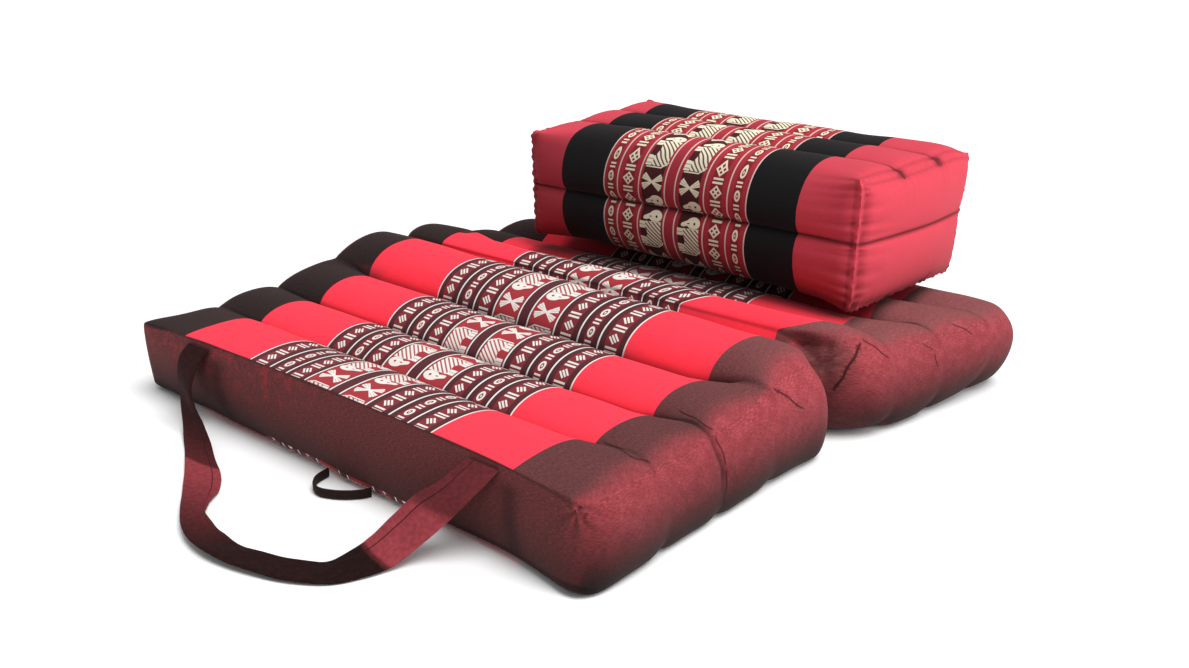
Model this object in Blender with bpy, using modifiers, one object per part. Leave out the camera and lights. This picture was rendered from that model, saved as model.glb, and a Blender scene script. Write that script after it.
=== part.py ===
# A Thai kapok floor mat, open on the floor, with its block cushion, carry strap and closing loop.
# Two quilted panels of four stuffed tubes each meet at the hinge, and the block lies on the rear one.
# Shapes are worked out in the mat's own axes: X along the tubes, Y from the front seam to the rear,
# Z up from the floor, with the middle of the front seam at X 0 and Y 0. Metres throughout.
# An empty then carries every piece, so that the origin lies on the floor under the middle of the set.

import math
from collections import namedtuple

import bmesh
import bpy
from mathutils import Vector

COLLECTION_NAME = "folding_mat_with_block_cushion"

# The middle of the whole set in the mat's own axes.
SET_MIDDLE = Vector((0.0095, 0.2137, 0.0))

# Small clearances and seams
GAP = 0.0003                   # between pieces that touch
CREASE_ROUNDING = 0.7          # power of a tube's arch: lower is fuller, with a sharper crease
END_ROUNDING = 10              # power of the fall towards a tube's closed end: higher is squarer

# Both panels
PANEL_HALF_WIDTH = 0.2485
FOOT_HEIGHT = 0.006            # the lower seams, just clear of the floor
FACE_SWELL = 0.006             # how far the front and rear faces swell between their seams
END_SEAM_DROP = 0.005          # the seam along a tube's end, below the tube's crest
END_CREASE_DROP = 0.006        # how much lower that seam is where two tubes meet
UNDERSIDE_GROOVE = 0.005       # the quilting seams as they lift the underside off the floor

# The front face
FRONT_SEAM_HEIGHT = 0.070      # the seam along its top, at the corners
FRONT_SEAM_RISE = 0.005        # how much higher that seam is in the middle
FOOT_SETBACK = 0.003           # its lower seam, behind the upper one

# The hinge: the line along the floor where both panels touch
HINGE_DEPTH = 0.292
HINGE_SEAM_HEIGHT = 0.083      # the seams along the top of the two walls that face each other
FRONT_HINGE_SETBACK = 0.014    # how far the front panel's wall leans away at that seam
REAR_HINGE_SETBACK = 0.010     # the same for the rear panel, halfway along
REAR_HINGE_OPENING = 0.036     # how much wider that gap gets for each metre towards +X
HINGE_LEAN = 2.5               # power of the lean: higher keeps the walls together further up

# The rear panel drifts towards +X and is pinched in at its four corners
REAR_DRIFT = 0.100             # sideways drift of its middle for each metre of depth
HINGE_PINCH_LEFT = 0.008
HINGE_PINCH_RIGHT = 0.040
FAR_PINCH = 0.008
PINCH_LENGTH = 0.050           # how far along the panel each pinch reaches

# One row for each stuffed tube, front to rear: the depth and height of its rear crease,
# the height of its crest, and how far its ends swell past the panel's side.
Tube = namedtuple("Tube", "rear_crease crease_height crest_height end_swell")
FRONT_TUBES = (
    Tube(rear_crease=0.075, crease_height=0.059, crest_height=0.0785, end_swell=0.007),
    Tube(rear_crease=0.141, crease_height=0.059, crest_height=0.0745, end_swell=0.006),
    Tube(rear_crease=0.209, crease_height=0.065, crest_height=0.0810, end_swell=0.006),
    Tube(rear_crease=HINGE_DEPTH, crease_height=HINGE_SEAM_HEIGHT, crest_height=0.0990, end_swell=0.008),
)
REAR_TUBES = (
    Tube(rear_crease=0.063, crease_height=0.062, crest_height=0.0940, end_swell=0.008),
    Tube(rear_crease=0.120, crease_height=0.062, crest_height=0.0800, end_swell=0.008),
    Tube(rear_crease=0.180, crease_height=0.062, crest_height=0.0810, end_swell=0.008),
    Tube(rear_crease=0.243, crease_height=0.060, crest_height=0.0750, end_swell=0.007),
)

# The block cushion
BLOCK_LENGTH = 0.3504
BLOCK_DEPTH = 0.1764
BLOCK_SEAM_TO_SEAM = 0.1090    # height from the lower seams to the upper ones
BLOCK_MIDDLE = Vector((0.0218, 0.464, 0.0))
BLOCK_TURN = math.radians(2.2)
REST_HEIGHT = 0.078            # the height to which the block presses the rear tubes
PRESS_MARGIN = 0.022           # how far around the block the tubes stay pressed
PRESS_SLOPE = 0.5              # how steeply they rise beyond that
BLOCK_FOOT_HEIGHT = 0.0025     # its lower seams above what it rests on
BLOCK_TOP_SWELL = 0.0075
BLOCK_FACE_SWELL = 0.0075
BLOCK_END_SWELL = 0.0060
BLOCK_CREASE_SHARE = 0.25      # how much of the swell is left in a crease
BLOCK_WAIST = 0.003            # how far its seams are drawn in between the corners
BLOCK_TOP_TUBES = 3
BLOCK_FACE_TUBES = 2

# The carry strap: folded cloth, sewn into the front seam at both ends
STRAP_WIDTH = 0.029
STRAP_THICKNESS = 0.003

# One row for each bend, from the right root to the left one: a point on the strap's middle line,
# and the heading and lift, in degrees, of the direction across it, from its outer to its inner edge.
Station = namedtuple("Station", "x y z heading lift")
STRAP_STATIONS = (
    Station(0.1620, -0.0028, 0.0680, 180, 0),
    Station(0.1535, -0.0205, 0.0512, 178, 3),
    Station(0.1380, -0.0295, 0.0340, 172, 14),
    Station(0.1250, -0.0430, 0.0170, 165, 18),
    Station(0.1176, -0.0580, 0.0064, 159, 15),
    Station(0.1125, -0.0745, 0.0036, 151, 7),
    Station(0.1040, -0.0914, 0.0020, 140, 1),
    Station(0.0904, -0.1025, 0.0021, 124, -1),
    Station(0.0725, -0.1110, 0.0027, 109, -4),
    Station(0.0490, -0.1180, 0.0037, 98, -8),
    Station(0.0250, -0.1215, 0.0042, 88, -9),
    Station(0.0040, -0.1190, 0.0045, 76, -10),
    Station(-0.0140, -0.1125, 0.0044, 66, -10),
    Station(-0.0340, -0.1005, 0.0038, 58, -8),
    Station(-0.0610, -0.0815, 0.0026, 50, -3),
    Station(-0.0930, -0.0600, 0.0019, 35, 0),
    Station(-0.1150, -0.0475, 0.0020, 21, 0),
    Station(-0.1385, -0.0345, 0.0048, 14, 10),
    Station(-0.1600, -0.0235, 0.0120, 2, 8),
    Station(-0.1720, -0.0190, 0.0240, -9, 2),
    Station(-0.1760, -0.0180, 0.0420, -10, 0),
    Station(-0.1755, -0.0120, 0.0580, -4, 0),
    Station(-0.1735, -0.0028, 0.0680, 0, 0),
)

# The closing loop: a narrow folded tape on its edge, coming out under the front face
LOOP_HEIGHT = 0.0075
LOOP_THICKNESS = 0.0025
LOOP_MIDDLE_HEIGHT = LOOP_HEIGHT / 2 + 0.0002
LOOP_STATIONS = (
    Station(0.0345, 0.0014, LOOP_MIDDLE_HEIGHT, 90, 90),
    Station(0.0320, -0.0050, LOOP_MIDDLE_HEIGHT, 90, 90),
    Station(0.0255, -0.0130, LOOP_MIDDLE_HEIGHT, 90, 90),
    Station(0.0160, -0.0200, LOOP_MIDDLE_HEIGHT, 90, 90),
    Station(0.0045, -0.0240, LOOP_MIDDLE_HEIGHT, 90, 90),
    Station(-0.0065, -0.0200, LOOP_MIDDLE_HEIGHT, 90, 90),
    Station(-0.0135, -0.0115, LOOP_MIDDLE_HEIGHT, 90, 90),
    Station(-0.0165, 0.0014, LOOP_MIDDLE_HEIGHT, 90, 90),
)

# How finely each form is cut up
PANEL_SPANS = 22
TUBE_SPANS = 6
PANEL_LAYERS = 5
BLOCK_SPANS = 18
BLOCK_TUBE_SPANS = 4
BLOCK_ROW_SPANS = 4
STRAP_STEPS = 3
STRAP_LANES = 2
LOOP_LANES = 1


def cloth(name, colour, roughness):
    """A woven cloth's material with one colour."""
    material = bpy.data.materials.new(name)
    material.use_nodes = True
    shader = material.node_tree.nodes["Principled BSDF"]
    shader.inputs["Base Color"].default_value = (*colour, 1.0)
    shader.inputs["Roughness"].default_value = roughness
    shader.inputs["Metallic"].default_value = 0.0
    return material


def add_piece(name, mesh, material, collection, carrier):
    """Puts a finished mesh in the set as one named piece, shaded smooth but for its seams."""
    mesh.shade_smooth()
    mesh.set_sharp_from_angle(angle=math.radians(50))
    mesh.materials.append(material)
    piece = bpy.data.objects.new(name, mesh)
    collection.objects.link(piece)
    piece.parent = carrier
    return piece


def cut_up_box(spans_x, spans_y, spans_z):
    """A cube from -1 to 1, cut into equal spans along each axis."""
    form = bmesh.new()
    bmesh.ops.create_cube(form, size=2.0)
    for axis, spans in enumerate((spans_x, spans_y, spans_z)):
        along = [edge for edge in form.edges
                 if abs(edge.verts[0].co[axis] - edge.verts[1].co[axis]) > 1.0]
        bmesh.ops.subdivide_edges(form, edges=along, cuts=spans - 1, use_grid_fill=True)
    return form


def filled_form(name, spans, place):
    """A filled cloth form: a cut-up box whose every point is put in its place."""
    form = cut_up_box(*spans)
    for vertex in form.verts:
        vertex.co = place(*vertex.co)
    bmesh.ops.recalc_face_normals(form, faces=form.faces)
    mesh = bpy.data.meshes.new(name)
    form.to_mesh(mesh)
    form.free()
    return mesh


def arch(share):
    """The rise of a stuffed tube: 0 at its creases, 1 in the middle."""
    return max(0.0, 4.0 * share * (1.0 - share)) ** CREASE_ROUNDING


def swell(share):
    """The soft outward curve of a face between its two seams."""
    return math.sin(math.pi * min(max(share, 0.0), 1.0))


def find_tube(tubes, position):
    """The tube that a position from 0 to 1 falls in, its number, and the share of it passed."""
    scaled = position * len(tubes)
    number = min(int(scaled + 1e-6), len(tubes) - 1)
    return number, tubes[number], scaled - number


def tube_section(tubes, first_height, position):
    """Depth, crease height, crest height, end swell and arch at a position from 0 to 1."""
    number, tube, share = find_tube(tubes, position)
    start_depth = tubes[number - 1].rear_crease if number else 0.0
    start_height = tubes[number - 1].crease_height if number else first_height
    depth = start_depth + (tube.rear_crease - start_depth) * share
    crease_height = start_height + (tube.crease_height - start_height) * share
    return depth, crease_height, tube.crest_height, tube.end_swell, arch(share)


def end_seam_height(tubes, position):
    """The seam along the top of the tubes' ends: high on each crest, lower between two of them."""
    number, tube, share = find_tube(tubes, position)
    other = tubes[min(max(number + (1 if share > 0.5 else -1), 0), len(tubes) - 1)]
    crest = tube.crest_height + (other.crest_height - tube.crest_height) * abs(share - 0.5)
    return crest - END_SEAM_DROP - END_CREASE_DROP * (1.0 - arch(share))


def block_clearance(x, y):
    """How far a point lies outside the ground that the block presses, in metres."""
    offset = Vector((x, y, 0.0)) - BLOCK_MIDDLE
    along = offset.x * math.cos(BLOCK_TURN) + offset.y * math.sin(BLOCK_TURN)
    deep = -offset.x * math.sin(BLOCK_TURN) + offset.y * math.cos(BLOCK_TURN)
    return max(abs(along) - BLOCK_LENGTH / 2, abs(deep) - BLOCK_DEPTH / 2, 0.0)


def pressed(height, x, y):
    """A height on the rear panel, kept under the block, with a soft way up beside it."""
    limit = REST_HEIGHT + PRESS_SLOPE * max(0.0, block_clearance(x, y) - PRESS_MARGIN)
    return min(height, limit)


def tube_heights(tubes, section, position, across):
    """The heights of the underside and the top of a panel at one place."""
    _, crease_height, crest_height, _, rise = section
    fall = max(0.0, 1.0 - abs(across) ** END_ROUNDING) ** 0.5
    crown = crease_height + (crest_height - crease_height) * rise
    end_height = end_seam_height(tubes, position)
    top = end_height + (crown - end_height) * fall
    bottom = FOOT_HEIGHT + (UNDERSIDE_GROOVE - FOOT_HEIGHT) * fall
    bottom *= max(0.0, 1.0 - 1.5 * rise)
    return bottom, top


def first_share(position, count):
    """1 at the panel's front face, falling to 0 across its first tube."""
    return max(0.0, 1.0 - position * count) ** 3


def front_panel_point(a, b, c):
    """A point of the front panel, from its place on a cube from -1 to 1."""
    across = math.sin(a * math.pi / 2)
    position = (b + 1) / 2
    level = (c + 1) / 2
    count = len(FRONT_TUBES)
    side_fade = 1.0 - abs(a) ** 6
    front_seam = FRONT_SEAM_HEIGHT + FRONT_SEAM_RISE * (1.0 - across * across)
    section = tube_section(FRONT_TUBES, front_seam, position)
    depth, _, _, end_swell, rise = section
    bottom, top = tube_heights(FRONT_TUBES, section, position, across)
    if position < 1e-6:
        top = front_seam
    if position > 1.0 - 1e-6:
        top = HINGE_SEAM_HEIGHT
    z = bottom + (top - bottom) * level
    x = across * (PANEL_HALF_WIDTH + end_swell * (0.3 + 0.7 * rise) * swell(level) * abs(a) ** 6)
    near = first_share(position, count)
    far = first_share(1.0 - position, count)
    y = depth + near * (FOOT_SETBACK * (1.0 - level) - FACE_SWELL * swell(level) * side_fade)
    y -= far * (GAP / 2 + FRONT_HINGE_SETBACK * level ** HINGE_LEAN)
    return Vector((x, y, z))


def rear_panel_point(a, b, c):
    """A point of the rear panel, from its place on a cube from -1 to 1."""
    across = math.sin(a * math.pi / 2)
    position = (b + 1) / 2
    level = (c + 1) / 2
    count = len(REAR_TUBES)
    side_fade = 1.0 - abs(a) ** 6
    section = tube_section(REAR_TUBES, HINGE_SEAM_HEIGHT, position)
    depth, _, _, end_swell, rise = section
    bottom, top = tube_heights(REAR_TUBES, section, position, across)
    if position < 1e-6:
        top = HINGE_SEAM_HEIGHT
    left_over = REAR_TUBES[-1].rear_crease - depth
    hinge_pinch = HINGE_PINCH_LEFT + (HINGE_PINCH_RIGHT - HINGE_PINCH_LEFT) * (1.0 + across) / 2
    pinch = hinge_pinch * max(0.0, 1.0 - depth / PINCH_LENGTH) ** 2
    pinch += FAR_PINCH * max(0.0, 1.0 - left_over / PINCH_LENGTH) ** 2
    reach = PANEL_HALF_WIDTH - pinch + end_swell * (0.3 + 0.7 * rise) * swell(level) * abs(a) ** 6
    x = REAR_DRIFT * depth + across * reach
    near = first_share(position, count)
    far = first_share(1.0 - position, count)
    lean = max(0.0, REAR_HINGE_SETBACK + REAR_HINGE_OPENING * x)
    y = HINGE_DEPTH + depth + near * (GAP / 2 + lean * level ** HINGE_LEAN)
    y += far * FACE_SWELL * swell(level) * side_fade
    z = bottom + (pressed(top, x, y) - bottom) * level
    return Vector((x, y, z))


def rows(share, count):
    """The rise of a face sewn into a number of equal tubes, with shallow creases between them."""
    local = (share * count) % 1.0
    if share <= 0.0 or share >= 1.0:
        return 0.0
    return BLOCK_CREASE_SHARE + (1.0 - BLOCK_CREASE_SHARE) * arch(local)


def block_point(a, b, c):
    """A point of the block cushion, from its place on a cube from -1 to 1."""
    along = math.sin(a * math.pi / 2)
    deep = b
    level = c
    edge_fade = 1.0 - abs(along) ** 8
    deep_share = (deep + 1) / 2
    level_share = (level + 1) / 2
    waist = BLOCK_WAIST * (1.0 - abs(along) ** 2)
    x = along * BLOCK_LENGTH / 2
    y = deep * (BLOCK_DEPTH / 2 - waist)
    z = REST_HEIGHT + GAP + BLOCK_FOOT_HEIGHT + level_share * BLOCK_SEAM_TO_SEAM
    if abs(level) > 0.999:
        lift = rows(deep_share, BLOCK_TOP_TUBES) * edge_fade ** 0.5
        z += BLOCK_TOP_SWELL * lift if level > 0 else -BLOCK_FOOT_HEIGHT * min(1.0, 2.0 * lift)
    if abs(deep) > 0.999:
        y += math.copysign(BLOCK_FACE_SWELL, deep) * rows(level_share, BLOCK_FACE_TUBES) * edge_fade ** 0.5
    if abs(a) > 0.999:
        x += math.copysign(BLOCK_END_SWELL, a) * rows(level_share, BLOCK_FACE_TUBES) * swell(deep_share) ** 0.5
    return Vector((x, y, z))


def smooth_between(before, start, end, after, share):
    """A value on the smooth curve through a row of values, between its second and third."""
    return 0.5 * (2 * start + (end - before) * share
                  + (2 * before - 5 * start + 4 * end - after) * share ** 2
                  + (3 * start - before - 3 * end + after) * share ** 3)


def route(stations, steps):
    """Points and across directions along a band, read from the smooth curve through its stations."""
    places = []
    last = len(stations) - 1
    for number in range(last):
        window = [stations[min(max(number + shift, 0), last)] for shift in (-1, 0, 1, 2)]
        for step in range(steps + (number == last - 1)):
            x, y, z, heading, lift = (smooth_between(*values, step / steps) for values in zip(*window))
            heading = math.radians(heading)
            lift = math.radians(lift)
            across = Vector((math.cos(heading) * math.cos(lift), math.sin(heading) * math.cos(lift),
                             math.sin(lift)))
            places.append((Vector((x, y, z)), across))
    return places


def band(name, stations, width, thickness, lanes, steps):
    """A flat band of folded cloth: a sheet laid along its route, then given its thickness."""
    places = route(stations, steps)
    sheet = bmesh.new()
    bmesh.ops.create_grid(sheet, x_segments=len(places) - 1, y_segments=lanes, size=1.0)
    for vertex in sheet.verts:
        middle, across = places[round((vertex.co.x + 1) / 2 * (len(places) - 1))]
        vertex.co = middle + across * (vertex.co.y * width / 2)
    mesh = bpy.data.meshes.new(name)
    sheet.to_mesh(mesh)
    sheet.free()
    return mesh


def thicken(piece, thickness):
    """Gives a band's sheet its thickness, half to each side."""
    solidify = piece.modifiers.new("thickness", "SOLIDIFY")
    solidify.thickness = thickness
    solidify.offset = 0.0
    solidify.use_even_offset = False


def build_panels(collection, carrier):
    """The two quilted panels of the mat."""
    red_cloth = cloth("mat_cloth", (0.60, 0.05, 0.08), 0.85)
    spans = (PANEL_SPANS, TUBE_SPANS * len(FRONT_TUBES), PANEL_LAYERS)
    front = filled_form("mat_front_panel", spans, front_panel_point)
    add_piece("mat_front_panel", front, red_cloth, collection, carrier)
    rear = filled_form("mat_rear_panel", spans, rear_panel_point)
    add_piece("mat_rear_panel", rear, red_cloth, collection, carrier)


def build_block(collection, carrier):
    """The block cushion, turned a little on the rear panel."""
    block_cloth = cloth("block_cloth", (0.35, 0.03, 0.05), 0.85)
    spans = (BLOCK_SPANS, BLOCK_TUBE_SPANS * BLOCK_TOP_TUBES, BLOCK_ROW_SPANS * BLOCK_FACE_TUBES)
    mesh = filled_form("block_cushion", spans, block_point)
    block = add_piece("block_cushion", mesh, block_cloth, collection, carrier)
    block.location = BLOCK_MIDDLE
    block.rotation_euler.z = BLOCK_TURN


def build_straps(collection, carrier):
    """The carry strap and the closing loop at the front edge."""
    strap_cloth = cloth("strap_cloth", (0.10, 0.02, 0.025), 0.8)
    loop_cloth = cloth("loop_cloth", (0.03, 0.015, 0.012), 0.8)
    strap = band("carry_handle", STRAP_STATIONS, STRAP_WIDTH, STRAP_THICKNESS, STRAP_LANES, STRAP_STEPS)
    thicken(add_piece("carry_handle", strap, strap_cloth, collection, carrier), STRAP_THICKNESS)
    loop = band("closing_loop", LOOP_STATIONS, LOOP_HEIGHT, LOOP_THICKNESS, LOOP_LANES, STRAP_STEPS)
    thicken(add_piece("closing_loop", loop, loop_cloth, collection, carrier), LOOP_THICKNESS)


def main():
    for leftover in list(bpy.data.objects):
        bpy.data.objects.remove(leftover, do_unlink=True)
    collection = bpy.data.collections.new(COLLECTION_NAME)
    bpy.context.scene.collection.children.link(collection)
    carrier = bpy.data.objects.new("set_middle", None)
    carrier.location = -SET_MIDDLE
    collection.objects.link(carrier)
    build_panels(collection, carrier)
    build_block(collection, carrier)
    build_straps(collection, carrier)


main()
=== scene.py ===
# The looks of a Thai kapok floor mat with its block cushion, carry strap and closing loop.
# Each filled piece is a cloth skin on the form of its solid, blown up a little between its seams,
# and the woven bands are drawn by small formulas in the materials. Metres unless a name says mm.

import math
from collections import namedtuple

import bmesh
import bpy
import numpy as np
from mathutils import Matrix, Vector


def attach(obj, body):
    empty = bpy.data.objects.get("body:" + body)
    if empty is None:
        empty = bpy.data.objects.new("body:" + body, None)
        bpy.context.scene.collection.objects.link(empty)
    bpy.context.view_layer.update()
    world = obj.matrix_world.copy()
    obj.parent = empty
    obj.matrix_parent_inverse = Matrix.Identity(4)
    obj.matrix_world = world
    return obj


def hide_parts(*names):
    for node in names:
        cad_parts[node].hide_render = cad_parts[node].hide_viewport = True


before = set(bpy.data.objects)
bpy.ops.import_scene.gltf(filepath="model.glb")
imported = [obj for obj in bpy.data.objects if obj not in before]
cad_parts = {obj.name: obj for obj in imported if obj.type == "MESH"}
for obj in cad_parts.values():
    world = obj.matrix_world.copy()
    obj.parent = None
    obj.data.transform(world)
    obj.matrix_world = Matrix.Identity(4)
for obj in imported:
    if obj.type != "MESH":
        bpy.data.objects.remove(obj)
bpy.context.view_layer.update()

# The middle of the set in the mat's own axes, in which every form is worked out
SET_MIDDLE = np.array((0.0095, 0.2137, 0.0))
IMAGE_WIDTH = 1189

# ---------------------------------------------------------------- sizes shared with the solids
GAP = 0.0003
PANEL_HALF_WIDTH = 0.2485
FOOT_HEIGHT = 0.006
FACE_SWELL = 0.006
END_SEAM_DROP = 0.005
END_CREASE_DROP = 0.006
UNDERSIDE_GROOVE = 0.005
FRONT_SEAM_HEIGHT = 0.070
FRONT_SEAM_RISE = 0.005
FOOT_SETBACK = 0.003
HINGE_DEPTH = 0.292
HINGE_SEAM_HEIGHT = 0.083
FRONT_HINGE_SETBACK = 0.014
REAR_HINGE_SETBACK = 0.010
REAR_HINGE_OPENING = 0.036
HINGE_LEAN = 2.5
REAR_DRIFT = 0.100
HINGE_PINCH_LEFT = 0.008
HINGE_PINCH_RIGHT = 0.040
FAR_PINCH = 0.008
PINCH_LENGTH = 0.050

# One row for each stuffed tube: its rear crease, the heights of crease and crest, the swell of its
# ends, and where the middle of a crossed-ribbon motif falls on it, in mm of cloth behind its crease.
# The strips of a tube may also lie a few mm to the left, at its front crease and from its crest on.
# widen_mm spreads them to the right, from the middle of the panel to its end.
Tube = namedtuple("Tube", "rear_crease crease_height crest_height end_swell "
                  "motif_mm near_shift_mm far_shift_mm widen_mm")
FRONT_TUBES = (
    Tube(0.075, 0.059, 0.0785, 0.007, 17.2, 0.0, 1.0, 0.0),
    Tube(0.141, 0.059, 0.0745, 0.006, -4.2, 4.0, 3.0, 8.0),
    Tube(0.209, 0.065, 0.0810, 0.006, 40.4, 5.0, 3.5, 8.0),
    Tube(HINGE_DEPTH, HINGE_SEAM_HEIGHT, 0.0990, 0.008, 20.4, 15.5, 8.5, 19.0),
)
REAR_TUBES = (
    Tube(0.063, 0.062, 0.0940, 0.008, -2.0, 15.0, 8.0, 0.0),
    Tube(0.120, 0.062, 0.0800, 0.008, 20.0, 8.0, 8.0, 0.0),
    Tube(0.180, 0.062, 0.0810, 0.008, 0.0, 4.0, 4.0, 0.0),
    Tube(0.243, 0.060, 0.0750, 0.007, 30.0, 0.0, 0.0, 0.0),
)

BLOCK_LENGTH = 0.3504
BLOCK_DEPTH = 0.1764
BLOCK_SEAM_TO_SEAM = 0.1090
BLOCK_MIDDLE = np.array((0.0218, 0.464, 0.0))
BLOCK_TURN = math.radians(2.2)
REST_HEIGHT = 0.078
PRESS_MARGIN = 0.022
PRESS_SLOPE = 0.5
BLOCK_FOOT_HEIGHT = 0.0025
BLOCK_TOP_SWELL = 0.0075
BLOCK_FACE_SWELL = 0.0075
BLOCK_END_SWELL = 0.0060
BLOCK_CREASE_SHARE = 0.10
BLOCK_WAIST = 0.003
BLOCK_ROUNDING = 0.42          # how far the long edges are rounded off, 0 square to 1 round
# How far each corner of the soft block has moved from the solid's, by its side along x, y and z
BLOCK_SAG = {
    (1, -1, 1): (0.001, 0.000, 0.0075),
    (1, -1, -1): (-0.004, 0.000, 0.000),
    (1, 1, 1): (0.0085, 0.000, 0.0010),
    (1, 1, -1): (0.0035, -0.008, -0.002),
    (-1, -1, 1): (-0.002, 0.000, -0.0015),
    (-1, -1, -1): (0.000, 0.000, 0.005),
    (-1, 1, 1): (0.004, 0.000, -0.001),
}
BLOCK_END_ROUNDING = 0.013     # radius of the soft edges beside its end seams
BLOCK_TOP_TUBES = 3
BLOCK_FACE_TUBES = 2

STRAP_WIDTH = 0.029
STRAP_THICKNESS = 0.003
Station = namedtuple("Station", "x y z heading lift")
STRAP_STATIONS = (
    Station(0.1620, -0.0028, 0.0680, 180, 0),
    Station(0.1535, -0.0205, 0.0512, 178, 3),
    Station(0.1380, -0.0295, 0.0340, 172, 14),
    Station(0.1250, -0.0430, 0.0170, 165, 18),
    Station(0.1176, -0.0580, 0.0064, 159, 15),
    Station(0.1125, -0.0745, 0.0036, 151, 7),
    Station(0.1040, -0.0914, 0.0020, 140, 1),
    Station(0.0904, -0.1025, 0.0021, 124, -1),
    Station(0.0725, -0.1110, 0.0027, 109, -4),
    Station(0.0490, -0.1180, 0.0037, 98, -8),
    Station(0.0250, -0.1215, 0.0042, 88, -9),
    Station(0.0040, -0.1190, 0.0045, 76, -10),
    Station(-0.0140, -0.1125, 0.0044, 66, -10),
    Station(-0.0340, -0.1005, 0.0038, 58, -8),
    Station(-0.0610, -0.0815, 0.0026, 50, -3),
    Station(-0.0930, -0.0600, 0.0019, 35, 0),
    Station(-0.1150, -0.0475, 0.0020, 21, 0),
    Station(-0.1385, -0.0345, 0.0048, 14, 10),
    Station(-0.1600, -0.0235, 0.0120, 2, 8),
    Station(-0.1720, -0.0190, 0.0240, -9, 2),
    Station(-0.1760, -0.0180, 0.0420, -10, 0),
    Station(-0.1755, -0.0120, 0.0580, -4, 0),
    Station(-0.1735, -0.0028, 0.0680, 0, 0),
)
LOOP_HEIGHT = 0.0075
LOOP_THICKNESS = 0.0025
LOOP_MIDDLE_HEIGHT = LOOP_HEIGHT / 2 + 0.0002
LOOP_STATIONS = (
    Station(0.0345, 0.0014, LOOP_MIDDLE_HEIGHT, 90, 90),
    Station(0.0320, -0.0050, LOOP_MIDDLE_HEIGHT, 90, 90),
    Station(0.0255, -0.0130, LOOP_MIDDLE_HEIGHT, 90, 90),
    Station(0.0160, -0.0200, LOOP_MIDDLE_HEIGHT, 90, 90),
    Station(0.0045, -0.0240, LOOP_MIDDLE_HEIGHT, 90, 90),
    Station(-0.0065, -0.0200, LOOP_MIDDLE_HEIGHT, 90, 90),
    Station(-0.0135, -0.0115, LOOP_MIDDLE_HEIGHT, 90, 90),
    Station(-0.0165, 0.0014, LOOP_MIDDLE_HEIGHT, 90, 90),
)

# ---------------------------------------------------------------- the woven bands
# White lines between the lanes, in metres from the middle, and the motif of each lane.
Weave = namedtuple("Weave", "lines motifs scale_across scale_along turned")
MAT_WEAVE = Weave(
    lines=(-0.1050, -0.0795, -0.0589, -0.0352, -0.0055, 0.0060, 0.0356, 0.0612, 0.0817, 0.1069),
    motifs=("lozenge", "oval", "lozenge", "elephant", "plain", "elephant", "lozenge", "oval", "lozenge"),
    scale_across=1.0, scale_along=1.0, turned=False,
)
BLOCK_WEAVE = Weave(
    lines=(-0.0870, -0.0712, -0.0470, -0.0178, -0.0066, 0.0255, 0.0505, 0.0705),
    motifs=("oval", "lozenge", "elephant", "plain", "elephant", "lozenge", "oval"),
    scale_across=0.96, scale_along=1.112, turned=True,
)
# The rear panel's right bright strip narrows towards the rear: its scale at each crease
REAR_STRIP_SCALES = (0.66, 0.81, 0.94, 1.25, 1.30)
MAT_RED_EDGES = (-0.191, 0.187)    # bright red cloth reaches this far, then maroon
BLOCK_BLACK_EDGES = (-0.1375, 0.1215)
SMALL_REPEAT_MM = 20.5
LARGE_REPEAT_MM = 61.5
LOZENGE_SHIFT_MM = -5.3        # lozenges on the mat sit this far from the crossed ribbons


def srgb(red, green, blue, gain=1.0):
    """A colour read in the photo's 0 to 255 values, as linear light."""
    linear = []
    for value in (red, green, blue):
        share = value / 255
        light = share / 12.92 if share <= 0.04045 else ((share + 0.055) / 1.055) ** 2.4
        linear.append(min(light * gain, 1.0))
    return tuple(linear)


# ================================================================ forms, as arrays of points
def arch(share, power):
    """The rise of a stuffed tube: 0 at its creases, 1 in the middle."""
    return np.maximum(0.0, 4.0 * share * (1.0 - share)) ** power


def swell(share):
    """The soft outward curve of a face between its two seams."""
    return np.sin(np.pi * np.clip(share, 0.0, 1.0))


CREASE_POWER = 0.60


def find_tube(tubes, position):
    """Each point's tube number and the share of the tube passed."""
    scaled = position * len(tubes)
    number = np.minimum((scaled + 1e-6).astype(int), len(tubes) - 1)
    return number, scaled - number


def column(tubes, name):
    return np.array([getattr(tube, name) for tube in tubes])


def tube_section(tubes, first_height, position):
    """Depth, crease height, crest height, end swell and arch at each position from 0 to 1."""
    number, share = find_tube(tubes, position)
    ends = column(tubes, "rear_crease")
    starts = np.concatenate(([0.0], ends[:-1]))
    heights = column(tubes, "crease_height")
    start_heights = np.concatenate(([0.0], heights[:-1]))
    depth = starts[number] + (ends - starts)[number] * share
    begin = np.where(number == 0, first_height, start_heights[number])
    crease = begin + (heights[number] - begin) * share
    crest = column(tubes, "crest_height")[number]
    end_swell = column(tubes, "end_swell")[number]
    return depth, crease, crest, end_swell, arch(share, CREASE_POWER)


def end_seam_height(tubes, position):
    """The top of the tubes' ends: high on each crest, lower between two of them."""
    number, share = find_tube(tubes, position)
    crests = column(tubes, "crest_height")
    other = np.clip(number + np.where(share > 0.5, 1, -1), 0, len(tubes) - 1)
    crest = crests[number] + (crests[other] - crests[number]) * np.abs(share - 0.5)
    return crest - END_SEAM_DROP - END_CREASE_DROP * (1.0 - arch(share, CREASE_POWER))


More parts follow.
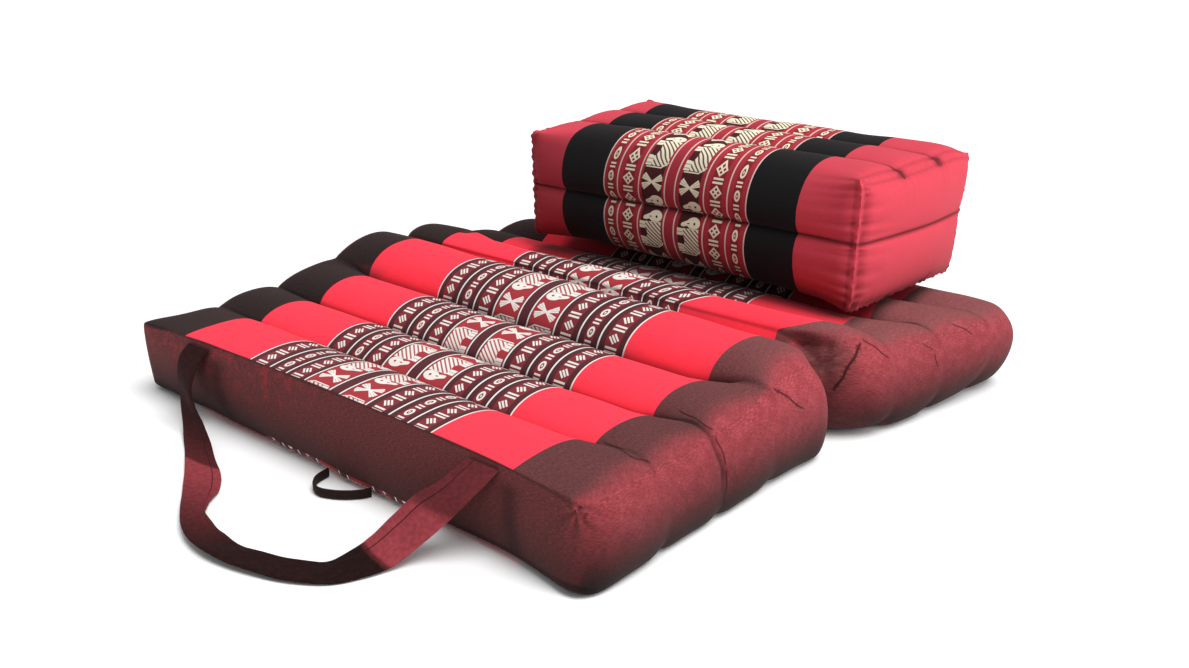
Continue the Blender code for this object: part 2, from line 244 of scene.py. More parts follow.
def block_clearance(x, y):
    """How far a point lies outside the ground that the block presses."""
    dx = x - BLOCK_MIDDLE[0]
    dy = y - BLOCK_MIDDLE[1]
    along = dx * math.cos(BLOCK_TURN) + dy * math.sin(BLOCK_TURN)
    deep = -dx * math.sin(BLOCK_TURN) + dy * math.cos(BLOCK_TURN)
    return np.maximum(np.maximum(np.abs(along) - BLOCK_LENGTH / 2, np.abs(deep) - BLOCK_DEPTH / 2), 0.0)


def pressed(height, x, y):
    """A height on the rear panel, kept under the block, with a soft way up beside it."""
    limit = REST_HEIGHT + PRESS_SLOPE * np.maximum(0.0, block_clearance(x, y) - PRESS_MARGIN)
    return np.minimum(height, limit)


def tube_heights(tubes, section, position, across):
    """The heights of the underside and the top of a panel."""
    _, crease_height, crest_height, _, rise = section
    fall = np.maximum(0.0, 1.0 - np.abs(across) ** 9) ** 0.55
    crown = crease_height + (crest_height - crease_height) * rise
    end_height = end_seam_height(tubes, position)
    top = end_height + (crown - end_height) * fall
    bottom = FOOT_HEIGHT + (UNDERSIDE_GROOVE - FOOT_HEIGHT) * fall
    bottom = bottom * np.maximum(0.0, 1.0 - 1.5 * rise)
    return bottom, top


def first_share(position, count):
    """1 at the panel's front face, falling to 0 across its first tube."""
    return np.maximum(0.0, 1.0 - position * count) ** 3


def end_arch(fades, position, level, rise):
    """The arch of the tubes on an end face, where each crease runs only part of the way down."""
    nearest = np.clip(np.rint(position * (len(fades) + 1)).astype(int), 0, len(fades) + 1)
    reach = np.concatenate(([1.0], fades, [1.0]))[nearest]
    shown = np.clip((level - 1.0 + reach) / 0.25 + 0.5, 0.0, 1.0)
    return rise + (1.0 - rise) * (1.0 - shown)


FRONT_FADES = (0.16, 0.70, 0.20)   # how far down the ends each crease runs
REAR_FADES = (0.14, 0.16, 0.14)


def front_panel_points(a, b, c):
    """Points of the front panel from their places on a cube from -1 to 1, in the mat's axes."""
    across = spread(a)
    position = (b + 1) / 2
    level = (c + 1) / 2
    count = len(FRONT_TUBES)
    side_fade = 1.0 - np.abs(a) ** 6
    front_seam = FRONT_SEAM_HEIGHT + FRONT_SEAM_RISE * (1.0 - across * across)
    section = tube_section(FRONT_TUBES, front_seam, position)
    depth, _, _, end_swell, rise = section
    bottom, top = tube_heights(FRONT_TUBES, section, position, across)
    top = np.where(position < 1e-6, front_seam, top)
    top = np.where(position > 1.0 - 1e-6, HINGE_SEAM_HEIGHT, top)
    z = bottom + (top - bottom) * level
    end_rise = end_arch(FRONT_FADES, position, level, rise)
    x = across * (PANEL_HALF_WIDTH + end_swell * (0.3 + 0.7 * end_rise) * swell(level) * np.abs(a) ** 6)
    near = first_share(position, count)
    far = first_share(1.0 - position, count)
    y = depth + near * (FOOT_SETBACK * (1.0 - level) - FACE_SWELL * swell(level) * side_fade)
    y = y - far * (GAP / 2 + FRONT_HINGE_SETBACK * level ** HINGE_LEAN)
    return np.stack((x, y, z), axis=1)


def rear_panel_points(a, b, c):
    """Points of the rear panel from their places on a cube from -1 to 1, in the mat's axes."""
    across = spread(a)
    position = (b + 1) / 2
    level = (c + 1) / 2
    count = len(REAR_TUBES)
    side_fade = 1.0 - np.abs(a) ** 6
    section = tube_section(REAR_TUBES, HINGE_SEAM_HEIGHT, position)
    depth, _, _, end_swell, rise = section
    bottom, top = tube_heights(REAR_TUBES, section, position, across)
    top = np.where(position < 1e-6, HINGE_SEAM_HEIGHT, top)
    left_over = REAR_TUBES[-1].rear_crease - depth
    hinge_pinch = HINGE_PINCH_LEFT + (HINGE_PINCH_RIGHT - HINGE_PINCH_LEFT) * (1.0 + across) / 2
    pinch = hinge_pinch * np.maximum(0.0, 1.0 - depth / PINCH_LENGTH) ** 2
    pinch = pinch + FAR_PINCH * np.maximum(0.0, 1.0 - left_over / PINCH_LENGTH) ** 2
    end_rise = end_arch(REAR_FADES, position, level, rise)
    reach = PANEL_HALF_WIDTH - pinch + end_swell * (0.3 + 0.7 * end_rise) * swell(level) * np.abs(a) ** 6
    x = REAR_DRIFT * depth + across * reach
    near = first_share(position, count)
    far = first_share(1.0 - position, count)
    lean = np.maximum(0.0, REAR_HINGE_SETBACK + REAR_HINGE_OPENING * x)
    y = HINGE_DEPTH + depth + near * (GAP / 2 + lean * level ** HINGE_LEAN)
    y = y + far * FACE_SWELL * swell(level) * side_fade
    z = bottom + (pressed(top, x, y) - bottom) * level
    return np.stack((x, y, z), axis=1)


RIGHT_ROUNDING = 0.034         # radius of the soft edge above a panel's right end
LEFT_ROUNDING = 0.010
FOOT_ROUNDING = 0.010
UPRIGHT_ROUNDING = 0.024
LEFT_REACH = 0.017             # the left ends billow out this much further
VALLEY_LIFT = 0.012            # the creases run out upwards at the right end
VALLEY_LIFT_REAR = 0.014
SLACK = 0.0026                 # the skin starts this far below the crests and is then blown up


def round_off(first, second, radius):
    """Moves away from two faces that bring a square edge between them onto a round one."""
    near_first = np.clip(1.0 - first / radius, 0.0, 1.0)
    near_second = np.clip(1.0 - second / radius, 0.0, 1.0)
    return (radius * near_first * (1.0 - np.sqrt(1.0 - near_second ** 2 / 2)),
            radius * near_second * (1.0 - np.sqrt(1.0 - near_first ** 2 / 2)))


def soft_panel_points(point_of, tubes, a, b, c):
    """A panel's form with its ends rounded as filled cloth rounds them."""
    points = point_of(a, b, c)
    top = point_of(a, b, np.ones_like(c))[:, 2]
    bottom = point_of(a, b, -np.ones_like(c))[:, 2]
    across = spread(a)
    side = np.sign(across)
    level = (c + 1) / 2
    creases = np.concatenate(([0.0], column(tubes, "rear_crease")))
    depth = np.interp((b + 1) / 2, np.linspace(0.0, 1.0, len(creases)), creases)
    to_end = (1.0 - np.abs(across)) * PANEL_HALF_WIDTH
    _, share = find_tube(tubes, (b + 1) / 2)
    points[:, 2] -= SLACK * arch(share, CREASE_POWER) * level * (1.0 - np.abs(across) ** 9)
    below_top = top - points[:, 2]
    above_foot = points[:, 2] - bottom
    inner = np.minimum((b + 1) / 2, (1 - b) / 2) * len(tubes) > 0.5
    lift = np.clip((across - 0.70) / 0.24, 0.0, 1.0) * level * inner
    points[:, 2] += (VALLEY_LIFT_REAR if point_of is rear_panel_points else VALLEY_LIFT) * lift * (
        1.0 - arch(share, CREASE_POWER))
    upright = np.where(across > 0, UPRIGHT_ROUNDING, UPRIGHT_ROUNDING * 0.2)
    rounding = np.where(across > 0, RIGHT_ROUNDING, LEFT_ROUNDING)
    if point_of is rear_panel_points:
        rounding = np.where(across > 0, RIGHT_ROUNDING * (1.0 - 0.35 * (b + 1) / 2), LEFT_ROUNDING)
    else:
        rounding = rounding * (1.0 - 0.55 * bump_at(depth, 0.0, 0.030))
    for distance, direction in ((depth, 1.0), (creases[-1] - depth, -1.0)):
        inward, away = round_off(to_end, distance, upright)
        points[:, 0] -= side * inward
        points[:, 1] += direction * away
    inward, down = round_off(to_end, below_top, rounding)
    points[:, 0] -= side * inward
    points[:, 2] -= down
    front_corner = np.where(across > 0, 0.006, 0.004) * bump_at(depth, 0.0, 0.04)
    foot = np.where(across > 0, FOOT_ROUNDING, FOOT_ROUNDING * 0.6) - front_corner
    if point_of is rear_panel_points:
        foot = np.where(across > 0, FOOT_ROUNDING + 0.026 * bump_at(depth, 0.0, 0.05), FOOT_ROUNDING)
    inward, up = round_off(to_end, above_foot, foot)
    points[:, 0] -= side * inward
    points[:, 2] += up
    left = np.clip((-across - 0.5) / 0.5, 0.0, 1.0) ** 2
    right = np.clip((across - 0.6) / 0.4, 0.0, 1.0) ** 2
    far_left = left * np.clip((depth - 0.07) / 0.06, 0.0, 1.0)
    points[:, 0] += 0.004 * right - LEFT_REACH * left - 0.004 * far_left
    if point_of is front_panel_points:
        corner = right * bump_at(depth, 0.02, 0.05)
        under = (1.0 - level) ** 2
        points[:, 0] += (0.009 - 0.003 * under) * corner
        points[:, 0] -= (0.002 + 0.004 * under) * right * bump_at(depth, 0.24, 0.07)
        points[:, 1] -= (0.009 + 0.007 * under) * right * np.maximum(0.0, 1.0 - depth / 0.05)
        points[:, 1] += 0.003 * under * np.clip(across * 2, 0, 1) * (1 - right) * np.maximum(0, 1 - depth / 0.03) * 0.5
        points[:, 0] -= (0.003 + 0.009 * under) * left * bump_at(depth, 0.0, 0.035)
        points[:, 2] -= 0.008 * np.clip((-across - 0.65) / 0.35, 0, 1) * bump_at(depth, 0.035, 0.03) * level
        points[:, 1] += 0.008 * np.clip(-across, 0.0, 1.0) ** 0.5 * under * np.maximum(0.0, 1.0 - depth / 0.03)
    else:
        points[:, 0] += (0.014 - 0.018 * (1.0 - level) ** 2) * right * bump_at(depth, 0.19, 0.09)
        points[:, 0] -= 0.008 * left * bump_at(depth, 0.03, 0.05)
        points[:, 2] -= 0.006 * np.clip(-across, 0.0, 1.0) * bump_at(depth, 0.17, 0.04) * level
        points[:, 2] -= 0.007 * np.clip(0.2 - across, 0.0, 1.0) * bump_at(depth, 0.10, 0.05) * level
        points[:, 2] += 0.011 * right * bump_at(depth, 0.0, 0.05) * np.clip(1.0 - 1.5 * level, 0.0, 1.0)
    return points


def rows(share, count):
    """The rise of a face sewn into equal tubes, with creases between them."""
    inner = BLOCK_CREASE_SHARE + (1.0 - BLOCK_CREASE_SHARE) * arch((share * count) % 1.0, CREASE_POWER)
    return np.where((share <= 0.0) | (share >= 1.0), 0.0, inner)


def block_points(a, b, c):
    """Points of the block from their places on a cube from -1 to 1, in the mat's axes."""
    along = spread(a)
    edge_fade = np.maximum(0.0, 1.0 - np.abs(along) ** 8)
    deep_share = (b + 1) / 2
    level_share = (c + 1) / 2
    waist = BLOCK_WAIST * (1.0 - along ** 2)
    half_depth = BLOCK_DEPTH / 2 - waist
    half_height = BLOCK_SEAM_TO_SEAM / 2
    rounding = BLOCK_ROUNDING * edge_fade
    y = b * half_depth * np.sqrt(1.0 - rounding * c * c / 2)
    z = c * half_height * np.sqrt(1.0 - rounding * b * b / 2)
    x = along * BLOCK_LENGTH / 2
    on_top = np.abs(c) > 0.999
    on_face = np.abs(b) > 0.999
    on_end = np.abs(a) > 0.999
    lift = rows(deep_share, BLOCK_TOP_TUBES) * np.sqrt(edge_fade)
    z = z + np.where(on_top & (c > 0), BLOCK_TOP_SWELL * lift, 0.0)
    z = z - np.where(on_top & (c < 0), BLOCK_FOOT_HEIGHT * np.minimum(1.0, 2.0 * lift), 0.0)
    push = BLOCK_FACE_SWELL * rows(level_share, BLOCK_FACE_TUBES) * np.sqrt(edge_fade)
    y = y + np.where(on_face, np.sign(b) * push, 0.0)
    bulge = BLOCK_END_SWELL * rows(level_share, BLOCK_FACE_TUBES) * np.sqrt(swell(deep_share))
    x = x + np.where(on_end, np.sign(a) * bulge, 0.0)
    z = z + half_height + REST_HEIGHT + GAP + BLOCK_FOOT_HEIGHT
    turned_x = BLOCK_MIDDLE[0] + x * math.cos(BLOCK_TURN) - y * math.sin(BLOCK_TURN)
    turned_y = BLOCK_MIDDLE[1] + x * math.sin(BLOCK_TURN) + y * math.cos(BLOCK_TURN)
    return np.stack((turned_x, turned_y, z), axis=1)


def soft_block_points(a, b, c):
    """The block's form, blown up at its ends and rounded along their seams."""
    points = block_points(a, b, c)
    along = spread(a)
    side = np.sign(along)
    to_end = (1.0 - np.abs(along)) * BLOCK_LENGTH / 2
    to_face = (1.0 - np.abs(b)) * BLOCK_DEPTH / 2
    to_top = (1.0 - np.abs(c)) * BLOCK_SEAM_TO_SEAM / 2
    inward, away = round_off(to_end, to_face, BLOCK_END_ROUNDING)
    points[:, 0] -= side * inward
    points[:, 1] -= np.sign(b) * away
    inward, away = round_off(to_end, to_top, BLOCK_END_ROUNDING)
    points[:, 0] -= side * inward
    points[:, 2] -= np.sign(c) * away
    end = np.abs(along) ** 12
    points[:, 0] += side * end * (0.0065 * (1.0 - b * b) * (1.0 - c ** 4) + np.where(along > 0, 0.0045, 0.0085))
    points[:, 2] += 0.0045 * np.clip((b + 0.2) / 1.2, 0.0, 1.0) * np.clip(c, 0.0, 1.0)
    points[:, 1] += 0.0040 * np.clip(b, 0.0, 1.0) * np.clip(c, 0.0, 1.0)
    on_face = np.abs(b) > 0.999
    points[:, 1] -= np.where(on_face, np.sign(b) * 0.0022 * bump_at(c, 0.0, 0.10) * (1.0 - end), 0.0)
    points[:, 2] += 0.0035 * (1.0 - c * c) * (1.0 + along) / 2
    for (side_a, side_b, side_c), move in BLOCK_SAG.items():
        share = (1 + side_a * along) * (1 + side_b * b) * (1 + side_c * c) / 8
        points += share[:, None] * np.array(move)
    points[:, 2] -= 0.0060 * bump_at(along, 1.0, 0.10) * bump_at(b, 1.0, 0.22) * np.clip(c, 0.0, 1.0)
    return points


def spread(a):
    """From -1 to 1 along a tube, with the points closer together towards its ends."""
    return 0.5 * np.sin(a * np.pi / 2) + 0.5 * a


# ================================================================ skins
def even(spans):
    """Places from -1 to 1 with equal spans."""
    return np.linspace(-1.0, 1.0, spans + 1)


def bunched(tubes, spans):
    """Places from -1 to 1 across a number of tubes, closer together at their creases."""
    local = (1.0 - np.cos(np.pi * np.arange(spans) / spans)) / 2
    local = 0.7 * local + 0.3 * np.arange(spans) / spans
    places = [(number + share) / tubes for number in range(tubes) for share in local]
    return np.array(places + [1.0]) * 2 - 1


LEFT, RIGHT, FRONT, BACK, BOTTOM, TOP = range(6)


def box_skin(places_a, places_b, places_c):
    """The six sides of a cut-up cube: points in its own axes, quads, and the side each quad is on."""
    axes = (places_a, places_b, places_c)
    numbers = {}
    points = []
    quads = []
    sides = []

    def number_of(key):
        if key not in numbers:
            numbers[key] = len(points)
            points.append([axes[axis][key[axis]] for axis in range(3)])
        return numbers[key]

    for axis in range(3):
        first, second = [other for other in range(3) if other != axis]
        for end in (0, len(axes[axis]) - 1):
            outward = (end > 0) == (axis != 1)
            for i in range(len(axes[first]) - 1):
                for j in range(len(axes[second]) - 1):
                    corners = []
                    for step_i, step_j in ((0, 0), (1, 0), (1, 1), (0, 1)):
                        key = [0, 0, 0]
                        key[axis] = end
                        key[first] = i + step_i
                        key[second] = j + step_j
                        corners.append(number_of(tuple(key)))
                    quads.append(corners if outward else corners[::-1])
                    sides.append(axis * 2 + (end > 0))
    return np.array(points), np.array(quads), np.array(sides)


def neighbours(quads, count):
    """Pairs of points joined by an edge."""
    pairs = np.concatenate([quads[:, (corner, (corner + 1) % 4)] for corner in range(4)])
    pairs = np.unique(np.sort(pairs, axis=1), axis=0)
    degree = np.bincount(pairs.ravel(), minlength=count).astype(float)
    return pairs, degree


def relaxed(points, quads, weight, rounds):
    """Points moved towards their neighbours' average, as far as each one's weight lets them."""
    pairs, degree = neighbours(quads, len(points))
    points = points.copy()
    for _ in range(rounds):
        total = np.zeros_like(points)
        np.add.at(total, pairs[:, 0], points[pairs[:, 1]])
        np.add.at(total, pairs[:, 1], points[pairs[:, 0]])
        points += (total / degree[:, None] - points) * weight[:, None]
    return points


def make_mesh(name, points, quads):
    mesh = bpy.data.meshes.new(name)
    mesh.from_pydata(points.tolist(), [], quads.tolist())
    mesh.validate()
    mesh.update()
    piece = bpy.data.objects.new(name, mesh)
    bpy.context.scene.collection.objects.link(piece)
    return piece


def put_values(mesh, name, values):
    """Stores one number for each point."""
    layer = mesh.attributes.new(name, "FLOAT", "POINT")
    layer.data.foreach_set("value", np.asarray(values, dtype=np.float32))


def get_values(mesh, name):
    layer = mesh.attributes[name]
    values = np.empty(len(layer.data), dtype=np.float32)
    layer.data.foreach_get("value", values)
    return values.astype(float)


def put_map(mesh, name, corners):
    """Stores a flat map with one place for each corner."""
    layer = mesh.uv_layers.new(name=name)
    layer.data.foreach_set("uv", np.asarray(corners, dtype=np.float32).ravel())


def get_points(mesh):
    values = np.empty(len(mesh.vertices) * 3, dtype=np.float32)
    mesh.vertices.foreach_get("co", values)
    return values.reshape(-1, 3).astype(float)


def get_normals(mesh):
    values = np.empty(len(mesh.vertices) * 3, dtype=np.float32)
    mesh.vertex_normals.foreach_get("vector", values)
    return values.reshape(-1, 3).astype(float)


def set_points(mesh, points):
    mesh.vertices.foreach_set("co", points.astype(np.float32).ravel())
    mesh.update()


def blow_up(piece, held, pressure, most):
    """Swells the cloth between its held points, moving each point no further than most."""
    before = get_points(piece.data)
    group = piece.vertex_groups.new(name="held")
    for number, value in enumerate(held):
        if value > 0.0:
            group.add([number], float(value), "REPLACE")
    cloth = piece.modifiers.new("cloth", "CLOTH")
    settings = cloth.settings
    settings.quality = 5
    settings.mass = 0.2
    settings.tension_stiffness = 20
    settings.compression_stiffness = 20
    settings.shear_stiffness = 8
    settings.bending_stiffness = 1.0
    settings.use_pressure = True
    settings.uniform_pressure_force = pressure
    settings.vertex_group_mass = "held"
    settings.effector_weights.gravity = 0.0
    scene = bpy.context.scene
    for number in range(1, 21):
        scene.frame_set(number)
    swollen = piece.evaluated_get(bpy.context.evaluated_depsgraph_get())
    after = get_points(swollen.data)
    piece.modifiers.remove(cloth)
    piece.vertex_groups.remove(group)
    scene.frame_set(1)
    move = after - before
    length = np.linalg.norm(move, axis=1)
    limited = most * np.tanh(length / most)
    move *= (limited / np.maximum(length, 1e-9))[:, None]
    set_points(piece.data, before + move)


def subdivide(piece, sharp_edges):
    """One round of subdivision that keeps the given edges sharp."""
    mesh = piece.data
    creases = mesh.attributes.new("crease_edge", "FLOAT", "EDGE")
    pairs = np.empty(len(mesh.edges) * 2, dtype=np.int32)
    mesh.edges.foreach_get("vertices", pairs)
    creases.data.foreach_set("value", sharp_edges(pairs.reshape(-1, 2)).astype(np.float32))
    modifier = piece.modifiers.new("finer", "SUBSURF")
    modifier.levels = 1
    modifier.render_levels = 1
    finer = bpy.data.meshes.new_from_object(piece.evaluated_get(bpy.context.evaluated_depsgraph_get()))
    piece.modifiers.remove(modifier)
    old = piece.data
    piece.data = finer
    name = old.name
    bpy.data.meshes.remove(old)
    finer.name = name
    return finer


def lumps(points, size, seed):
    """A soft, uneven relief from -1 to 1 with lumps of about the given size."""
    picker = np.random.default_rng(seed)
    total = np.zeros(len(points))
    for _ in range(9):
        direction = picker.normal(size=3)
        direction /= np.linalg.norm(direction)
        total += np.sin(points @ direction * (2 * np.pi / (size * picker.uniform(0.7, 1.5)))
                        + picker.uniform(0, 2 * np.pi))
    return total / 4.0


def bump_at(values, centre, width):
    """1 at the centre, falling off on both sides."""
    return np.exp(-((values - centre) / width) ** 2)


# ================================================================ formulas in materials
class Value:
    """A number in a material's node tree, with the usual arithmetic."""

    def __init__(self, tree, socket):
        self.tree = tree
        self.socket = socket

    def math(self, operation, *others, clamp=False):
        node = self.tree.nodes.new("ShaderNodeMath")
        node.operation = operation
        node.use_clamp = clamp
        for number, other in enumerate((self,) + others):
            if isinstance(other, Value):
                self.tree.links.new(other.socket, node.inputs[number])
            else:
                node.inputs[number].default_value = other
        return Value(self.tree, node.outputs[0])

    def __add__(self, other):
        return self.math("ADD", other)

    def __sub__(self, other):
        return self.math("SUBTRACT", other)

    def __mul__(self, other):
        return self.math("MULTIPLY", other)

    def __truediv__(self, other):
        return self.math("DIVIDE", other)

    def __neg__(self):
        return self.math("MULTIPLY", -1.0)

    def __abs__(self):
        return self.math("ABSOLUTE")

    def above(self, limit):
        return self.math("GREATER_THAN", limit)

    def least(self, other):
        return self.math("MINIMUM", other)

    def most(self, other):
        return self.math("MAXIMUM", other)

    def wrapped(self, low, high):
        return self.math("WRAP", high, low)

    def cover(self, soft=0.22):
        """1 where the number is above 0, 0 where it is below, with a soft edge."""
        return (self / soft).math("ADD", 0.5, clamp=True)

    def between(self, low, high):
        """0 up to low, 1 from high on, and a smooth way between them."""
        node = self.tree.nodes.new("ShaderNodeMapRange")
        node.interpolation_type = "SMOOTHSTEP"
        self.tree.links.new(self.socket, node.inputs[0])
        node.inputs[1].default_value = low
        node.inputs[2].default_value = high
        return Value(self.tree, node.outputs[0])


def flipped(value):
    """1 minus a number."""
    return (-value) + 1.0


def box_form(u, v, low_u, high_u, low_v, high_v):
    """Above 0 inside a rectangle, in mm."""
    across = -abs(u - (low_u + high_u) / 2) + (high_u - low_u) / 2
    along = -abs(v - (low_v + high_v) / 2) + (high_v - low_v) / 2
    return across.least(along)


def oval_form(u, v, middle_u, middle_v, radius_u, radius_v):
    """Above 0 inside an ellipse, roughly in mm."""
    across = (u - middle_u) / radius_u
    along = (v - middle_v) / radius_v
    distance = (across * across + along * along).math("SQRT")
    return (-distance + 1.0) * min(radius_u, radius_v)


def bar_form(u, v, start, end, radius_start, radius_end):
    """Above 0 inside a round-ended bar that may widen from its start to its end, in mm."""
    run_u = end[0] - start[0]
    run_v = end[1] - start[1]
    length = run_u * run_u + run_v * run_v
    from_u = u - start[0]
    from_v = v - start[1]
    share = (from_u * (run_u / length) + from_v * (run_v / length)).math("ADD", 0.0, clamp=True)
    off_u = from_u - share * run_u
    off_v = from_v - share * run_v
    distance = (off_u * off_u + off_v * off_v).math("SQRT")
    return share * (radius_end - radius_start) + radius_start - distance


def lozenge_ink(u, v, latticed):
    """A lozenge of slanting strips, or of four small hollow ones, then two short bars before the next."""
    half_width = 5.5
    half_height = 5.3
    down = u / half_width + v / half_height
    up = u / half_width - v / half_height
    if latticed:
        inside = (-(abs(down).most(abs(up))) + 1.20) * 3.8
        nearest = abs(down.wrapped(-0.5, 0.5)).least(abs(up.wrapped(-0.5, 0.5)))
        lozenge = inside.least((-nearest + 0.20) * 3.8).cover()
    else:
        inside = (-(abs(down).most(abs(up))) + 1.0) * 3.6
        strips = (-(abs((down * 1.5).wrapped(-0.5, 0.5))) + 0.31) * 2.6
        bridge = -((u * u + v * v).math("SQRT")) + 0.9
        lozenge = inside.least(strips.most(bridge)).cover()
    beside = abs(abs(v) - SMALL_REPEAT_MM / 2)
    bars = (-abs(beside - 1.8) + 0.95).least(-abs(u) + half_width).cover()
    return lozenge.most(bars)


def oval_ink(u, v):
    """A small pointed oval with an eye, then two short bars halfway to the next one."""
    ring = oval_form(u, v, 0.0, 0.0, 3.1, 5.0).cover()
    hollow = oval_form(u, v, 0.0, 0.0, 1.5, 2.9).cover()
    eye = oval_form(u, v, 0.0, 0.0, 0.65, 1.3).cover()
    beside = abs(abs(v) - SMALL_REPEAT_MM / 2)
    bars = (-abs(beside - 1.75) + 0.85).least(-abs(u) + 3.1).cover()
    return (ring * flipped(hollow)).most(eye).most(bars)


def ribbon_ink(u, v):
    """Two crossed ribbons that widen to their ends, each with two dark lines along it."""
    angle = math.radians(27)
    side_u = abs(u)
    side_v = abs(v)
    along = side_u * math.cos(angle) + side_v * math.sin(angle)
    aside = side_v * math.cos(angle) - side_u * math.sin(angle)
    width = along * 0.23 + 0.8
    form = (width - abs(aside)).least(-along + 12.2 - abs(aside) * 0.25)
    share = abs(aside) / width
    lines = (-abs(share - 0.36) + 0.07) * 3.0
    return form.cover() * flipped(lines.cover() * (along - 4.5).cover(1.0) * 0.7)


def elephant_inks(u, v):
    """An elephant on its side: u from its back to its feet, v from its forehead to its rump, in mm.
    Gives its light cloth and its red eye."""
    head = oval_form(u, v, 9.6, 5.2, 7.4, 5.1)
    trunk = bar_form(u, v, (13.0, 4.4), (21.4, 7.6), 2.6, 1.9)
    body = box_form(u, v, 2.6, 19.8, 9.6, 34.0)
    cut_back = (u * 0.6 - v * 0.8) + 24.2
    front_leg = box_form(u, v, 17.0, 27.2, 10.9, 17.9)
    hind_leg = box_form(u, v, 17.0, 27.2, 25.6, 34.0)
    belly = oval_form(u, v, 21.5, 21.7, 3.0, 4.4)
    tail = bar_form(u, v, (8.5, 35.3), (25.0, 35.3), 0.55, 0.55)
    tail = tail.most(bar_form(u, v, (2.0, 30.0), (8.5, 35.3), 0.55, 0.55))
    form = head.most(trunk).most(body.least(cut_back)).most(front_leg).most(hind_leg).cover()
    form = form * flipped(belly.cover())
    slant = (u * 0.62 + v * 0.78).wrapped(-1.6, 1.6)
    on_body = (v - 10.6).cover() * (-u + 20.4).cover()
    hatch = (-abs(slant) + 0.66).cover(0.3) * on_body
    on_legs = (u - 20.6).cover()
    leg_lines = (-abs((v - 0.3).wrapped(-1.75, 1.75)) + 0.26).cover(0.3) * on_legs * (v - 10.0).cover()
    neck = box_form(u, v, 13.5, 28.0, 9.1, 10.5).cover()
    mouth = oval_form(u, v, 15.2, 5.9, 1.5, 0.55).cover()
    fold = box_form(u, v, 2.5, 13.5, 9.5, 9.9).cover(0.4) * 0.6
    light = form * flipped((hatch.most(leg_lines)) * 0.92) * flipped(neck.most(mouth)) * flipped(fold)
    eye = oval_form(u, v, 8.3, 5.4, 1.15, 1.15).cover()
    return (light * flipped(eye)).most(tail.cover()), eye


def colour_mix(tree, share, first, second):
    """A colour between two colours or colour sockets."""
    node = tree.nodes.new("ShaderNodeMix")
    node.data_type = "RGBA"
    if isinstance(share, Value):
        tree.links.new(share.socket, node.inputs[0])
    else:
        node.inputs[0].default_value = share
    for place, colour in ((6, first), (7, second)):
        if isinstance(colour, tuple):
            node.inputs[place].default_value = (*colour, 1.0)
        else:
            tree.links.new(colour, node.inputs[place])
    return node.outputs[2]


def colour_scale(tree, colour, factor):
    """A colour made lighter or darker by a number."""
    node = tree.nodes.new("ShaderNodeVectorMath")
    node.operation = "SCALE"
    if isinstance(colour, tuple):
        node.inputs[0].default_value = colour
    else:
        tree.links.new(colour, node.inputs[0])
    tree.links.new(factor.socket, node.inputs[3])
    return node.outputs[0]


def noise(tree, vector, scale, detail=2.0, stretch=(1.0, 1.0, 1.0)):
    """A soft noise from 0 to 1 over a vector in mm."""
    mapping = tree.nodes.new("ShaderNodeMapping")
    mapping.inputs["Scale"].default_value = stretch
    tree.links.new(vector, mapping.inputs["Vector"])
    node = tree.nodes.new("ShaderNodeTexNoise")
    node.inputs["Scale"].default_value = scale
    node.inputs["Detail"].default_value = detail
    tree.links.new(mapping.outputs[0], node.inputs["Vector"])
    return Value(tree, node.outputs[0])


def new_material(name, roughness, sheen, sheen_tint, specular=0.25):
    """A cloth shader, with its node tree and its shader node."""
    material = bpy.data.materials.new(name)
    material.use_nodes = True
    tree = material.node_tree
    shader = tree.nodes["Principled BSDF"]
    shader.inputs["Roughness"].default_value = roughness
    shader.inputs["Specular IOR Level"].default_value = specular
    shader.inputs["Sheen Weight"].default_value = sheen
    shader.inputs["Sheen Roughness"].default_value = 0.45
    shader.inputs["Sheen Tint"].default_value = (*sheen_tint, 1.0)
    return material, tree, shader


def map_axes(tree, name):
    """The two numbers of a flat map, and the map's own vector."""
    node = tree.nodes.new("ShaderNodeUVMap")
    node.uv_map = name
    parts = tree.nodes.new("ShaderNodeSeparateXYZ")
    tree.links.new(node.outputs[0], parts.inputs[0])
    return Value(tree, parts.outputs[0]), Value(tree, parts.outputs[1]), node.outputs[0]


def named_value(tree, name):
    node = tree.nodes.new("ShaderNodeAttribute")
    node.attribute_name = name
    return Value(tree, node.outputs["Fac"])


def surface_axes(tree):
    """Where a point lies and which way the surface faces."""
    node = tree.nodes.new("ShaderNodeNewGeometry")
    place = tree.nodes.new("ShaderNodeSeparateXYZ")
    facing = tree.nodes.new("ShaderNodeSeparateXYZ")
    tree.links.new(node.outputs["Position"], place.inputs[0])
    tree.links.new(node.outputs["Normal"], facing.inputs[0])
    return ([Value(tree, place.outputs[axis]) for axis in range(3)],
            [Value(tree, facing.outputs[axis]) for axis in range(3)])


